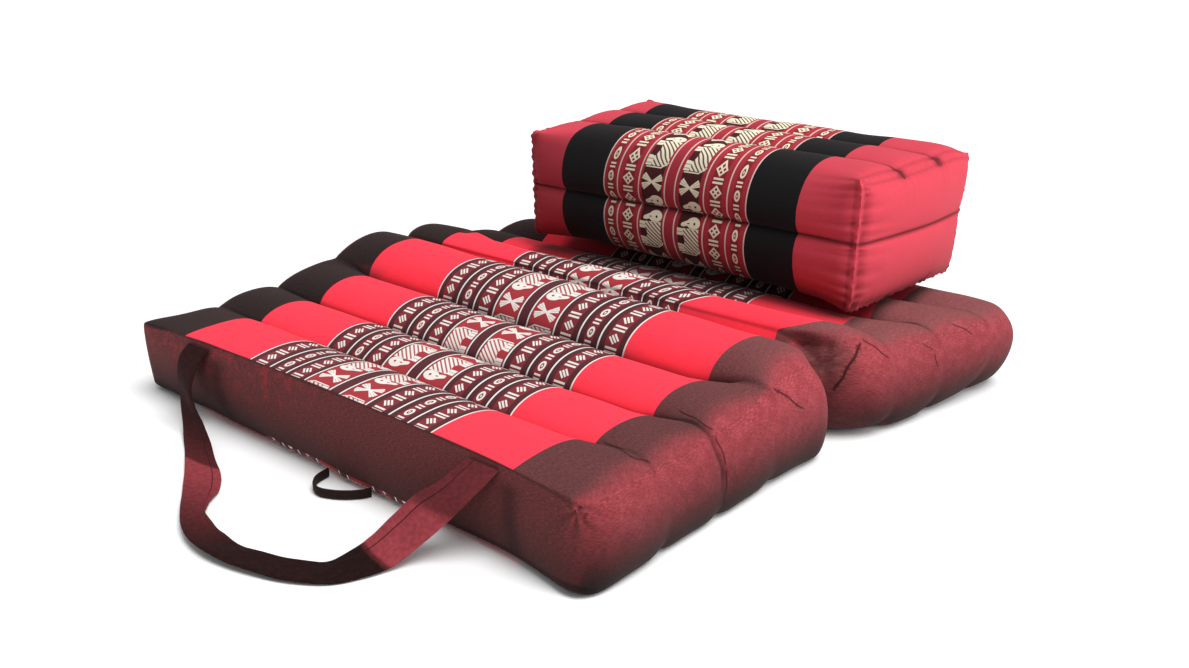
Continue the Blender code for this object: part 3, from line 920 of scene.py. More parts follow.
def finish_cloth(tree, shader, colour, grain_vector, raised=None, grain=0.10, relief=0.35):
    """Adds threads and slubs to a colour, darkens it by the painted shade in the crease attribute (creases, folds,
    around the block and beside the strap) and gives it a woven relief.
    """
    along_threads = noise(tree, grain_vector, 1.0, 3.0, (0.22, 1.7, 1.0))
    across_threads = noise(tree, grain_vector, 1.0, 3.0, (1.7, 0.22, 1.0))
    patches = noise(tree, grain_vector, 0.045, 3.0)
    threads = along_threads + across_threads
    crease = named_value(tree, "crease")
    light = (threads - 1.0) * (grain * 2.2) + (patches - 0.5) * (grain * 1.6) + 1.0
    # Painted shade: the crease attribute darkens the colour by up to 72%.
    light = light * flipped(crease * 0.72)
    tree.links.new(colour_scale(tree, colour, light), shader.inputs["Base Color"])
    parts = tree.nodes.new("ShaderNodeSeparateXYZ")
    tree.links.new(grain_vector, parts.inputs[0])
    u = Value(tree, parts.outputs[0])
    v = Value(tree, parts.outputs[1])
    warp = abs((u * 3.9).math("SINE"))
    weft = abs((v * 3.5).math("SINE"))
    height = (warp + weft) * 0.30 + threads * 0.8
    if raised is not None:
        height = height + raised * 1.1
    bump = tree.nodes.new("ShaderNodeBump")
    bump.inputs["Strength"].default_value = relief
    bump.inputs["Distance"].default_value = 0.00035
    tree.links.new(height.socket, bump.inputs["Height"])
    tree.links.new(bump.outputs[0], shader.inputs["Normal"])


def shot_cloth_and_painted_light(tree, grain_vector):
    """Two-tone maroon cloth with light and shade painted in by which way it faces and where it lies: dark on top,
    redder where it faces sideways, darkest near the floor.
    """
    place, facing = surface_axes(tree)
    sideways = abs(facing[0]).between(0.12, 0.80)
    mottle = noise(tree, grain_vector, 0.10, 4.0)
    near_seam = place[2].between(0.030, 0.068) * (-place[0]).between(-0.02, 0.10)
    dashes = noise(tree, grain_vector, 1.0, 2.0, (0.30, 1.9, 1.0)).between(0.40, 0.66)
    left = (-place[0]).between(-0.05, 0.20)
    # Painted light: the maroon tops lighten towards the rear.
    top = colour_mix(tree, place[1].between(-0.10, 0.12), SHOT_TOP, SHOT_TOP_REAR_PAINTED_LIGHT)
    # Painted shade: the maroon tops darken towards the left.
    top = colour_mix(tree, left, top, SHOT_TOP_LEFT_PAINTED_SHADE)
    front = colour_mix(tree, mottle.between(0.45, 0.70) * near_seam, SHOT_FRONT, SHOT_FRONT_LIGHT)
    upright = flipped(abs(facing[2])).between(0.35, 0.9)
    colour = colour_mix(tree, upright, top, front)
    # Redder where the cloth faces sideways: the cloth's two tones, with painted light.
    red = colour_mix(tree, mottle.between(0.30, 0.75), SHOT_SIDE_AND_PAINTED_LIGHT, SHOT_SIDE_LIGHTER_AND_PAINTED_LIGHT)
    # Painted shade: the sides are darker near the front.
    near_front = flipped(place[1].between(-0.28, -0.12)) * 0.24
    colour = colour_mix(tree, sideways, colour, colour_scale(tree, red, flipped(near_front)))
    # Painted shade: darkest near the floor, up to a greater height on the sides.
    low = flipped(place[2].between(-0.006, 0.062)) * flipped(sideways) * 0.72
    low = low + flipped(place[2].between(0.004, 0.080)) * sideways
    colour = colour_mix(tree, low, colour, SHOT_LOW_PAINTED_SHADE)
    return colour_scale(tree, colour, dashes * 0.55 + 0.74)


# These seams are dark lines in the maroon: painted shade in each pinched groove, and dark thread where stitched.
# Short pinched seams on the right ends: the two points between which each lies, in the set's axes,
# half of its width in metres and whether it is sewn over with short stitches
PinchedSeam = namedtuple("PinchedSeam", "start end half_width stitched")
PINCHED_SEAMS = (
    PinchedSeam((0.2405, -0.0090, 0.0845), (0.2405, 0.0315, 0.0533), 0.0007, True),
    PinchedSeam((0.2405, -0.0770, 0.0692), (0.2405, -0.0631, 0.0404), 0.0005, False),
    PinchedSeam((0.2405, -0.0631, 0.0404), (0.2405, -0.0664, 0.0092), 0.0005, False),
    PinchedSeam((0.2405, -0.1142, 0.0971), (0.2405, -0.0759, 0.0711), 0.0005, False),
    PinchedSeam((0.2405, -0.1966, 0.0989), (0.2405, -0.1441, 0.0691), 0.0004, False),
    PinchedSeam((0.2405, 0.1126, 0.0861), (0.2405, 0.0778, 0.052), 0.0011, True),
    PinchedSeam((0.2405, 0.1107, 0.09), (0.2405, 0.1481, 0.0607), 0.0005, False),
    PinchedSeam((0.2405, 0.1929, 0.0637), (0.2405, 0.2111, 0.0497), 0.0004, False),
    PinchedSeam((0.2405, 0.2111, 0.0497), (0.2405, 0.2151, 0.0332), 0.0005, False),
    PinchedSeam((0.2405, 0.2381, 0.0683), (0.2405, 0.2706, 0.0476), 0.0005, False),
)
OUTWARD = np.array((0.632, -0.694, 0.345))    # the way that the cloth faces at these seams


def pinched_seams(place):
    """1 on the dark lines of the pinched seams, 0 elsewhere: painted shade in their grooves, with the stitches' dark
    thread.
    """
    total = None
    for seam in PINCHED_SEAMS:
        start = np.array(seam.start)
        run = np.array(seam.end) - start
        run = run - OUTWARD * (run @ OUTWARD)
        length = float(np.linalg.norm(run))
        run = run / length
        aside = np.cross(OUTWARD, run)
        along = sum((place[axis] * float(run[axis]) for axis in range(1, 3)), place[0] * float(run[0]))
        across = sum((place[axis] * float(aside[axis]) for axis in range(1, 3)), place[0] * float(aside[0]))
        along = along - float(run @ start)
        across = across - float(aside @ start)
        across = across + (along * 330.0).math("SINE") * 0.0005
        fade = along.between(0.0, 0.004) * flipped(along.between(length - 0.004, length))
        line = (-abs(across) + seam.half_width).cover(0.0010)
        if seam.stitched:
            uneven = (along * 430.0).math("SINE") * 1.6 + along * 1150.0
            stitches = uneven.math("SINE").between(0.5, 0.95) * 0.7
            line = line.most((-abs(across) + seam.half_width * 2.2).cover(0.0012) * stitches)
        line = line * fade * place[0].between(0.17, 0.19)
        total = line if total is None else total.most(line)
    return total


def woven_band(tree, weave, tones, s, t):
    """The patterned band's colour, and how far its light threads are raised."""
    lines = [line * 1000 for line in weave.lines]
    steps = [s.above(line) for line in lines]
    across = (s * -1.0 if weave.turned else s)
    along = (t * (-1.0 / weave.scale_along) if weave.turned else t * (1.0 / weave.scale_along))
    centres = {}
    for number, motif in enumerate(weave.motifs):
        mask = steps[number] - steps[number + 1]
        middle = (lines[number] + lines[number + 1]) / 2
        total, shifted = centres.get(motif, (None, None))
        part = mask * (-middle if weave.turned else middle)
        centres[motif] = (mask if total is None else total + mask, part if shifted is None else shifted + part)

    def local(motif):
        return (across - centres[motif][1]) / weave.scale_across

    small = (along - (0.0 if weave.turned else LOZENGE_SHIFT_MM)).wrapped(-SMALL_REPEAT_MM / 2, SMALL_REPEAT_MM / 2)
    large = along.wrapped(-12.5, LARGE_REPEAT_MM - 12.5)
    lozenge_u = local("lozenge")
    oval_u = local("oval")
    elephant_u = local("elephant")
    light, eye = elephant_inks(elephant_u + 14.8, large - 12.2)
    ink = lozenge_ink(lozenge_u, small, weave.turned) * centres["lozenge"][0]
    ink = ink.most(oval_ink(oval_u, small) * centres["oval"][0])
    ink = ink.most(ribbon_ink(elephant_u, large) * centres["elephant"][0])
    ink = ink.most(light * centres["elephant"][0])
    eye = eye * centres["elephant"][0]
    nearest = None
    for line in lines:
        distance = abs(s - line)
        nearest = distance if nearest is None else nearest.least(distance)
    drawn_line = (-nearest + tones["line_half"]).cover()
    rim = (-nearest + 1.7).cover(1.0)
    core = (-abs(lozenge_u) + 6.6).cover(0.8) * centres["lozenge"][0]
    core = core.most((-abs(oval_u) + 4.4).cover(0.8) * centres["oval"][0])
    colour = colour_mix(tree, core, tones["lane"], tones["core"])
    field = (-abs(elephant_u) + tones["field_half"]).cover(0.6) * centres["elephant"][0]
    colour = colour_mix(tree, centres["elephant"][0], colour, tones["margin"])
    colour = colour_mix(tree, field, colour, tones["field"])
    colour = colour_mix(tree, centres["plain"][0], colour, tones["plain"])
    colour = colour_mix(tree, rim * tones["rim"], colour, tones["rim_colour"])
    colour = colour_mix(tree, ink, colour, tones["ink"])
    colour = colour_mix(tree, eye, colour, tones["eye"])
    colour = colour_mix(tree, drawn_line, colour, tones["line"])
    return colour, ink.most(drawn_line)


GAIN = 0.90                    # the light on the set is a little over 1
SHOT_TOP = srgb(96, 52, 53, GAIN)
# Painted shade: the maroon tops darken to this towards the left.
SHOT_TOP_LEFT_PAINTED_SHADE = srgb(40, 29, 28, GAIN)
SHOT_FRONT = srgb(102, 47, 48, GAIN)
SHOT_FRONT_LIGHT = srgb(142, 48, 54, GAIN)
# Sideways maroon: the cloth's two tones, with painted light.
SHOT_SIDE_AND_PAINTED_LIGHT = srgb(148, 57, 63, GAIN)
SHOT_SIDE_LIGHTER_AND_PAINTED_LIGHT = srgb(164, 68, 75, GAIN)
# Painted shade near the floor.
SHOT_LOW_PAINTED_SHADE = srgb(22, 15, 13, GAIN)
# Painted light: the maroon tops lighten to this towards the rear.
SHOT_TOP_REAR_PAINTED_LIGHT = srgb(132, 74, 75, GAIN)
BRIGHT_RED = srgb(255, 59, 79, GAIN)
BLOCK_RED = srgb(208, 67, 82, GAIN)
# Painted shade: the block's red darkens to this towards its bottom.
BLOCK_RED_PAINTED_SHADE_LOW = srgb(180, 62, 72, GAIN)
BLACK = srgb(18, 19, 21, GAIN)
MAT_TONES = {
    "lane": srgb(84, 40, 45, GAIN), "core": srgb(128, 46, 54, GAIN), "margin": srgb(150, 48, 56, GAIN),
    "field": srgb(166, 52, 60, GAIN), "field_half": 13.6, "plain": srgb(88, 42, 48, GAIN),
    "rim": 0.75, "rim_colour": srgb(40, 24, 24, GAIN), "ink": srgb(234, 230, 222, GAIN),
    "eye": srgb(176, 40, 46, GAIN), "line": srgb(236, 234, 228, GAIN), "line_half": 0.78,
}
BLOCK_TONES = {
    "lane": srgb(178, 50, 62, GAIN), "core": srgb(142, 38, 48, GAIN), "margin": srgb(172, 48, 60, GAIN),
    "field": srgb(76, 28, 32, GAIN), "field_half": 11.6, "plain": srgb(176, 50, 64, GAIN),
    "rim": 0.0, "rim_colour": srgb(60, 24, 28, GAIN), "ink": srgb(252, 242, 214, GAIN),
    "eye": srgb(70, 36, 34, GAIN), "line": srgb(238, 210, 200, GAIN), "line_half": 0.7,
}


def mat_material():
    """The mat's cover: patterned band, bright red strips, then maroon borders, ends and fronts, with light and shade
    painted into the maroon.
    """
    material, tree, shader = new_material("mat_cloth", 0.86, 0.06, srgb(255, 200, 200), 0.16)
    s, t, _ = map_axes(tree, "pattern")
    _, _, grain = map_axes(tree, "grain")
    band, raised = woven_band(tree, MAT_WEAVE, MAT_TONES, s, t)
    in_band = s.above(MAT_WEAVE.lines[0] * 1000 - 0.6) * (-s).above(-MAT_WEAVE.lines[-1] * 1000 - 0.6)
    left_edge, right_edge = (edge * 1000 for edge in MAT_RED_EDGES)
    in_border = (-s).above(-left_edge).most(s.above(right_edge))
    colour = colour_mix(tree, in_band, BRIGHT_RED, band)
    place, _ = surface_axes(tree)
    seams = flipped(pinched_seams(place) * 0.80)
    # Painted shade on the pinched seams darkens the maroon by up to 80%.
    colour = colour_mix(tree, in_border, colour, colour_scale(tree, shot_cloth_and_painted_light(tree, grain), seams))
    finish_cloth(tree, shader, colour, grain, raised * in_band)
    return material


def block_material():
    """The block's cover: patterned band, black strips, red ends, with painted shade: the red darker towards the bottom
    and the front face darker towards the left.
    """
    material, tree, shader = new_material("block_cloth", 0.84, 0.05, srgb(255, 215, 215), 0.14)
    s, t, _ = map_axes(tree, "pattern")
    _, _, grain = map_axes(tree, "grain")
    band, raised = woven_band(tree, BLOCK_WEAVE, BLOCK_TONES, s, t)
    in_band = s.above(BLOCK_WEAVE.lines[0] * 1000 - 0.6) * (-s).above(-BLOCK_WEAVE.lines[-1] * 1000 - 0.6)
    low, high = (edge * 1000 for edge in BLOCK_BLACK_EDGES)
    in_black = s.above(low) * (-s).above(-high)
    place, facing = surface_axes(tree)
    # Painted shade: the red is darker towards the bottom.
    height = place[2].between(REST_HEIGHT - 0.01, REST_HEIGHT + 0.075)
    red = colour_mix(tree, height, BLOCK_RED_PAINTED_SHADE_LOW, BLOCK_RED)
    colour = colour_mix(tree, in_black, red, BLACK)
    colour = colour_mix(tree, in_band, colour, band)
    # Painted shade on the block's front face: darker towards the left, a little lighter low on the right.
    left = flipped(place[0].between(-0.17, 0.16))
    low_right = flipped(left) * flipped(height) * 0.10
    shade = (left * 0.28 + 0.27 - low_right) * (-facing[1]).between(0.2, 0.9)
    colour = colour_scale(tree, colour, flipped(shade))
    finish_cloth(tree, shader, colour, grain, raised * in_band, grain=0.07)
    return material


def strap_material():
    """Folded maroon cloth with a dark line of topstitching near one edge; its dark and red stretches are painted light
    and shade on the cloth's two tones.
    """
    material, tree, shader = new_material("strap_cloth", 0.88, 0.03, srgb(255, 200, 200), 0.1)
    s, t, _ = map_axes(tree, "pattern")
    _, _, grain = map_axes(tree, "grain")
    shot_and_painted_light_tone = named_value(tree, "shot_and_painted_light_tone")
    mottle = noise(tree, grain, 0.25, 3.0).between(0.3, 0.75)
    # Dark and red of the strap: painted shade and painted light on the cloth's two tones.
    dark = colour_mix(tree, mottle, srgb(12, 7, 5, GAIN), srgb(24, 14, 11, GAIN))
    red = colour_mix(tree, mottle, srgb(136, 55, 61, GAIN), srgb(158, 64, 71, GAIN))
    colour = colour_mix(tree, shot_and_painted_light_tone, dark, red)
    seam = (-abs(s - 7.6) + 0.42).cover(0.3)
    colour = colour_mix(tree, seam * 0.75, colour, srgb(34, 18, 18, GAIN))
    finish_cloth(tree, shader, colour, grain, seam * -1.2)
    return material


def loop_material():
    material, tree, shader = new_material("loop_cloth", 0.85, 0.04, srgb(255, 210, 200), 0.12)
    _, _, grain = map_axes(tree, "grain")
    mottle = noise(tree, grain, 0.8, 3.0).between(0.3, 0.7)
    colour = colour_mix(tree, mottle, srgb(22, 14, 12, GAIN), srgb(42, 27, 23, GAIN))
    finish_cloth(tree, shader, colour, grain)
    return material


def floor_material():
    material, tree, shader = new_material("floor", 0.9, 0.0, (1.0, 1.0, 1.0), 0.1)
    place, _ = surface_axes(tree)
    node = tree.nodes.new("ShaderNodeNewGeometry")
    faint = noise(tree, node.outputs["Position"], 6.0, 2.0)
    light = faint * 0.01 + 0.93
    tree.links.new(colour_scale(tree, (1.0, 1.0, 1.0), light), shader.inputs["Base Color"])
    return material


# ================================================================ the filled pieces
def profile_lengths(point_of, tubes, side, samples=400):
    """Cloth length from each tube's front crease, in mm, as a lookup over the place along the panel."""
    places = np.linspace(-1.0 + 1e-5, 1.0 - 1e-5, samples * tubes)
    flat = np.zeros_like(places)
    points = point_of(flat, places, np.full_like(places, side))
    lengths = np.concatenate(([0.0], np.cumsum(np.linalg.norm(np.diff(points, axis=0), axis=1)))) * 1000
    return places, lengths


def to_world(points):
    return points - SET_MIDDLE


def crease_lines(b, tubes):
    """Each point's distance across the panel to each line between tubes."""
    inner = np.arange(1, tubes) / tubes * 2 - 1
    distance = np.abs(b[:, None] - inner[None, :])
    return distance


def panel(name, point_of, tubes, fades, node):
    """One quilted panel of the mat. fades says how far down the end faces each crease runs on."""
    count = len(tubes)
    places_a = even(104)
    places_b = bunched(count, 15)
    places_c = -np.cos(np.pi * np.arange(15) / 14)
    cube, quads, sides = box_skin(places_a, places_b, places_c)
    a, b, c = cube.T
    points = to_world(soft_panel_points(point_of, tubes, a, b, c))
    across = np.abs(spread(a))
    near_end = np.clip((across - 0.84) / 0.10, 0, 1)
    bottom_part = np.clip(-c, 0, 1) ** 6
    points = relaxed(points, quads, near_end * 0.7 * (1 - 0.8 * bottom_part), 8)
    piece = make_mesh(name, points, quads)
    mesh = piece.data
    for label, values in (("a", a), ("b", b), ("c", c)):
        put_values(mesh, label, values)
    corner_a = a[quads]
    corner_b = b[quads]
    corner_c = c[quads]
    middle_b = corner_b.mean(axis=1)
    number = np.clip(((middle_b + 1) / 2 * count).astype(int), 0, count - 1)
    start_b = number / count * 2 - 1
    s = spread(corner_a) * PANEL_HALF_WIDTH * 1000
    share = (corner_b - start_b[:, None]) * count / 2
    near_shift = column(tubes, "near_shift_mm")[number][:, None]
    far_shift = column(tubes, "far_shift_mm")[number][:, None]
    shift = near_shift + (far_shift - near_shift) * np.clip(2 * share, 0, 1)
    s += shift - column(tubes, "widen_mm")[number][:, None] * np.clip(spread(corner_a), 0, 1)
    if point_of is rear_panel_points:
        scale = np.interp(corner_b, even(count), REAR_STRIP_SCALES)
        s = np.where(s > 115.0, 115.0 + (s - 115.0) * scale, s)
    lookup = profile_lengths(point_of, count, 1.0)
    length = np.interp(corner_b, *lookup) - np.interp(start_b, *lookup)[:, None]
    t = length - column(tubes, "motif_mm")[number][:, None]
    total = lookup[1][-1]
    seam = FRONT_SEAM_HEIGHT if name.startswith("front") else HINGE_SEAM_HEIGHT
    height = (corner_c + 1) / 2 * seam * 1000
    hinge_side = BACK if name.startswith("front") else FRONT
    for side in range(6):
        here = sides == side
        if side in (LEFT, RIGHT) or (side in (FRONT, BACK) and side != hinge_side):
            s[here] = 300.0
        if side == hinge_side and side == FRONT:
            t[here] = height[here] - seam * 1000 - tubes[0].motif_mm
        if side == hinge_side and side == BACK:
            t[here] = (np.interp(1.0, *lookup) - np.interp(0.5, *lookup) - tubes[-1].motif_mm
                       + seam * 1000 - height[here])
    along = spread(corner_a) * PANEL_HALF_WIDTH * 1000
    in_band = (np.abs(along).max(axis=1) < 107.0)[:, None]
    foot = (corner_c.max(axis=1)[:, None] < -0.90) & in_band & (sides == FRONT)[:, None]
    s = np.where(foot, along, s)
    t = np.where(foot, 50.0 + height, t)
    put_map(mesh, "pattern", np.stack((s, t), axis=2).reshape(-1, 2))
    depth = np.interp(corner_b, *lookup)
    grain = np.stack((along, depth), axis=2)
    for side in range(6):
        here = sides == side
        if side in (LEFT, RIGHT):
            grain[here] = np.stack((depth * 0.85, height), axis=2)[here]
        elif side in (FRONT, BACK):
            grain[here] = np.stack((along, height), axis=2)[here]
    put_map(mesh, "grain", grain.reshape(-1, 2))

    inner = np.arange(1, count) / count * 2 - 1
    on_crease = np.min(np.abs(b[:, None] - inner[None, :]), axis=1) < 1e-6
    on_seam = (np.abs(np.abs(b) - 1) < 1e-6) & (np.abs(c - 1) < 1e-6)
    held = np.where(on_crease & (np.abs(c) > 0.999) & (np.abs(a) < 0.97), 1.0, 0.0)
    held = np.maximum(held, np.where(on_seam, 1.0, 0.0))
    held = np.maximum(held, np.where(c < -0.999, 1.0, 0.0))
    hinge_b = 1.0 if hinge_side == BACK else -1.0
    held = np.maximum(held, np.where(np.abs(b - hinge_b) < 1e-6, 1.0, 0.0))
    blow_up(piece, held, 2.0, 0.003)

    def sharp(pairs):
        both_crease = on_crease[pairs].all(axis=1) & (np.abs(c[pairs] - 1) < 1e-6).all(axis=1)
        both_crease &= (np.abs(spread(a[pairs])) < 0.93).all(axis=1)
        both_seam = on_seam[pairs].all(axis=1) & (np.abs(b[pairs][:, 0] - b[pairs][:, 1]) < 1e-6)
        if hinge_side == FRONT:
            both_seam &= (spread(a[pairs]) < 0.60).all(axis=1)
        return np.where(both_crease | both_seam, 1.0, 0.0)

    mesh = subdivide(piece, sharp)
    points = get_points(mesh)
    normals = get_normals(mesh)
    a = get_values(mesh, "a")
    b = get_values(mesh, "b")
    c = get_values(mesh, "c")
    reach = np.abs(spread(a))
    points_moved, crease = quilted_relief(points, normals, a, b, c, reach, count, fades)
    # Painted shadow of the block on the rear panel's top, near and under it.
    if name.startswith("rear"):
        mat_points = points + SET_MIDDLE
        under_block = 1.0 - block_clearance(mat_points[:, 0], mat_points[:, 1]) / BLOCK_SHADE_REACH
        crease = np.maximum(crease, np.clip(under_block, 0, 1) * (c > 0.5))
    else:
        crease = np.maximum(crease, strap_shade(points + SET_MIDDLE, b, c))
    set_points(mesh, points_moved)
    put_values(mesh, "crease", crease)
    for label in ("a", "b", "c"):
        mesh.attributes.remove(mesh.attributes[label])
    mesh.shade_smooth()
    mesh.set_sharp_from_angle(angle=math.radians(55))
    mesh.materials.clear()
    mesh.materials.append(MAT_MATERIAL)
    dress(piece, node)
    return piece


BLOCK_SHADE_REACH = 0.016          # painted shade: the mat is darkened this far in front of the block that it carries
CORNER_FOLDS = ((0.2400, -0.2160, 0.0600), (0.2120, 0.0980, 0.0640))


def strap_shade(points, b, c):
    """How much the strap's roots and the floor shade the front face."""
    beside = np.maximum(bump_at(points[:, 0], -0.151, 0.010), bump_at(points[:, 0], 0.187, 0.009))
    under_root = np.clip((0.064 - points[:, 2]) / 0.006, 0, 1)
    foot = np.clip((np.abs(points[:, 0]) - 0.105) / 0.004, 0, 1) * (c < -0.85)
    return np.maximum(beside * under_root * 0.75, foot * 0.85) * (b < -0.93)


def quilted_relief(points, normals, a, b, c, reach, count, fades):
    """Grooves where the creases run on over the ends, small puckers, and slight unevenness, with painted shade along
    the creases and their grooves, the seam atop the first face and the corner folds.
    """
    move = lumps(points, 0.075, 11) * 0.0007
    # The crease values are painted shade in the creases, grooves and folds.
    crease = np.zeros(len(points))
    end_part = np.clip((reach - 0.86) / 0.14, 0, 1)
    for number, fade in enumerate(fades):
        line = (number + 1) / count * 2 - 1
        beside = bump_at(b, line + 0.006 * np.sin(c * 5 + number), 0.013)
        wide = bump_at(b, line, 0.05)
        down = np.clip((c - (1 - 2 * fade)) / 0.35, 0, 1)
        run = np.where(a > 0, down, np.clip((c - 0.2) / 0.5, 0, 1))
        deep = 0.7 if fade > 0.5 else 0.35
        move -= (0.0018 * beside + 0.0008 * wide) * deep * run * end_part ** 0.5
        crease += beside * deep * run * end_part ** 0.5
        valley = bump_at(b, line, 0.010) * (c > 0.5) * (1 - end_part)
        crease += valley
        gather = bump_at(b, line, 0.06) * (c > 0.5) * bump_at(reach, 0.90, 0.06)
        move += gather * 0.0006 * np.sin(b * count * 55)
    crease += bump_at(b, -1.0, 0.005) * (c > 0.96) * 0.5
    for corner in CORNER_FOLDS:
        offset = points - np.array(corner)
        distance = np.linalg.norm(offset, axis=1)
        angle = np.arctan2(offset[:, 2] + offset[:, 1], offset[:, 0] - offset[:, 1])
        fold = np.sin(angle * 9 + 1.5 * np.sin(angle * 4)) * np.clip(distance / 0.004, 0, 1)
        near = np.exp(-distance / 0.011)
        move += near * (0.0013 * fold - 0.0016)
        crease += near * np.clip(-fold, 0, 1) * 0.9
    return points + normals * move[:, None], np.clip(crease, 0, 1)


def dress(piece, node):
    """Hangs a piece under the set's root, so that it moves with the set, and hides the solid that it stands for."""
    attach(piece, "root")
    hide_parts(node)


def block():
    """The block cushion, with its pinched end seams."""
    places_a = even(84)
    places_b = bunched(BLOCK_TOP_TUBES, 14)
    places_c = bunched(BLOCK_FACE_TUBES, 14)
    cube, quads, sides = box_skin(places_a, places_b, places_c)
    a, b, c = cube.T
    points = to_world(soft_block_points(a, b, c))
    along = np.abs(spread(a))
    long_edge = np.clip((np.abs(b) - 0.70) / 0.30, 0, 1) * np.clip((np.abs(c) - 0.60) / 0.40, 0, 1)
    weight = long_edge * np.clip(1 - along ** 10, 0, 1) * 0.5
    points = relaxed(points, quads, weight, 10)
    piece = make_mesh("block_cover", points, quads)
    mesh = piece.data
    for label, values in (("a", a), ("b", b), ("c", c)):
        put_values(mesh, label, values)
    corner_a = a[quads]
    corner_b = b[quads]
    corner_c = c[quads]
    s = spread(corner_a) * BLOCK_LENGTH / 2 * 1000
    half_deep = BLOCK_DEPTH / 2 * 1000
    half_tall = BLOCK_SEAM_TO_SEAM / 2 * 1000
    upper_jump = np.where(corner_c.mean(axis=1)[:, None] > 0, -84.6, -68.2) + 58.0
    t = np.zeros_like(s)
    grain = np.zeros(s.shape + (2,))
    for side in range(6):
        here = sides == side
        if side == FRONT:
            t[here] = corner_c[here] * half_tall + upper_jump[here]
            grain[here] = np.stack((s, corner_c * half_tall), axis=2)[here]
        elif side == TOP:
            t[here] = (corner_b[here] + 1) * half_deep + half_tall + upper_jump[here]
            grain[here] = np.stack((s, (corner_b + 1) * half_deep + half_tall), axis=2)[here]
        elif side == BACK:
            t[here] = -corner_c[here] * half_tall + 20.0
            grain[here] = np.stack((s, -corner_c * half_tall + 300), axis=2)[here]
        elif side == BOTTOM:
            t[here] = -corner_b[here] * half_deep
            grain[here] = np.stack((s, -corner_b * half_deep + 500), axis=2)[here]
        else:
            s[here] = 300.0
            grain[here] = np.stack((corner_b * half_deep, corner_c * half_tall), axis=2)[here]
    put_map(mesh, "pattern", np.stack((s, t), axis=2).reshape(-1, 2))
    put_map(mesh, "grain", grain.reshape(-1, 2))
    lines_b = np.abs(np.abs(b) - 1 / 3) < 1e-6
    lines_c = np.abs(c) < 1e-6
    flat_top = np.abs(np.abs(c) - 1) < 1e-6
    flat_face = np.abs(np.abs(b) - 1) < 1e-6
    flat_end = np.abs(np.abs(a) - 1) < 1e-6
    on_crease = (lines_b & flat_top) | (lines_c & (flat_face | flat_end))
    on_seam = flat_end & (flat_top | flat_face)
    held = np.where(on_crease | on_seam | (c < -0.999), 1.0, 0.0)
    blow_up(piece, held, 2.5, 0.003)

    def sharp(pairs):
        crease = on_crease[pairs].all(axis=1)
        seam = on_seam[pairs].all(axis=1)
        return np.where(seam, 1.0, np.where(crease, 0.9, 0.0))

    mesh = subdivide(piece, sharp)
    points = get_points(mesh)
    normals = get_normals(mesh)
    a = get_values(mesh, "a")
    b = get_values(mesh, "b")
    c = get_values(mesh, "c")
    moved, crease = block_relief(points, normals, a, b, c)
    set_points(mesh, moved)
    put_values(mesh, "crease", crease)
    for label in ("a", "b", "c"):
        mesh.attributes.remove(mesh.attributes[label])
    mesh.shade_smooth()
    mesh.set_sharp_from_angle(angle=math.radians(60))
    mesh.materials.clear()
    mesh.materials.append(BLOCK_MATERIAL)
    dress(piece, "block_cushion")
    return piece


def block_relief(points, normals, a, b, c):
    """The raised seam round each end, with the cloth gathered into it, and soft unevenness, with painted shade in its
    creases, folds and gathers, beside the seam and along the bottom of the faces.
    """
    to_seam = (1 - np.abs(spread(a))) * BLOCK_LENGTH / 2
    on_end = np.abs(a) > 0.9999
    to_face = (1 - np.abs(b)) * BLOCK_DEPTH / 2
    to_top = (1 - np.abs(c)) * BLOCK_SEAM_TO_SEAM / 2
    from_edge = np.where(on_end, np.minimum(to_face, to_top), to_seam)
    along_top = to_top < to_face
    around = np.where(along_top, b * BLOCK_DEPTH / 2, c * BLOCK_SEAM_TO_SEAM / 2)
    uneven = 1.0 + 0.28 * np.sin(around * 760 + 1.3 + a) + 0.22 * np.sin(around * 331 + a * 2)
    front_upright = ~along_top * (b < 0) * (a > 0)
    ridge = np.exp(-(from_edge / 0.0017) ** 2) * (0.0024 + 0.0010 * front_upright) * uneven
    middle = bump_at(around, 0.0, 0.030) * ~along_top * 1.3
    pulled = (bump_at(b, 1 / 3, 0.07) + bump_at(b, -1 / 3, 0.07)) * along_top
    fold = np.sin(around * 1150 + 2.1 * np.sin(around * 190 + a)) + 0.6 * np.sin(around * 640 + 2.0)
    reach = np.exp(-from_edge / 0.010) * (from_edge > 0.0012)
    gathers = np.sin(around * 620 + 1.7 * np.sin(around * 150)) * front_upright
    reach_far = np.exp(-from_edge / 0.022) * (from_edge > 0.0012)
    pucker = reach * (0.25 + middle + pulled) * 0.0006 * fold + reach_far * 0.0011 * gathers
    ear = np.exp(-((to_face / 0.007) ** 2 + (to_top / 0.007) ** 2 + (to_seam / 0.006) ** 2)) * 0.0022
    move = lumps(points, 0.06, 23) * 0.0006 + ridge + pucker + ear
    # Painted shade: darker in the creases, folds and gathers, beside the raised seam and along the bottom of the
    # faces.
    crease = bump_at(c, 0.0, 0.028) * ((np.abs(b) > 0.9) | on_end)
    crease += (bump_at(b, 1 / 3, 0.016) + bump_at(b, -1 / 3, 0.016)) * (c > 0.9)
    crease += pulled * np.exp(-(from_edge / 0.0035) ** 2) * 0.9
    crease += reach * np.clip(-fold, 0, 1) * (0.1 + middle + pulled) * 0.35
    crease += reach_far * np.clip(-gathers, 0, 1) * 0.22
    crease += np.exp(-((from_edge - 0.0030) / 0.0012) ** 2) * 0.30
    crease += np.clip(1.0 - (c + 1.0) / 0.30, 0, 1) * (np.abs(b) > 0.9) * 0.75
    return points + normals * move[:, None], np.clip(crease, 0, 1)


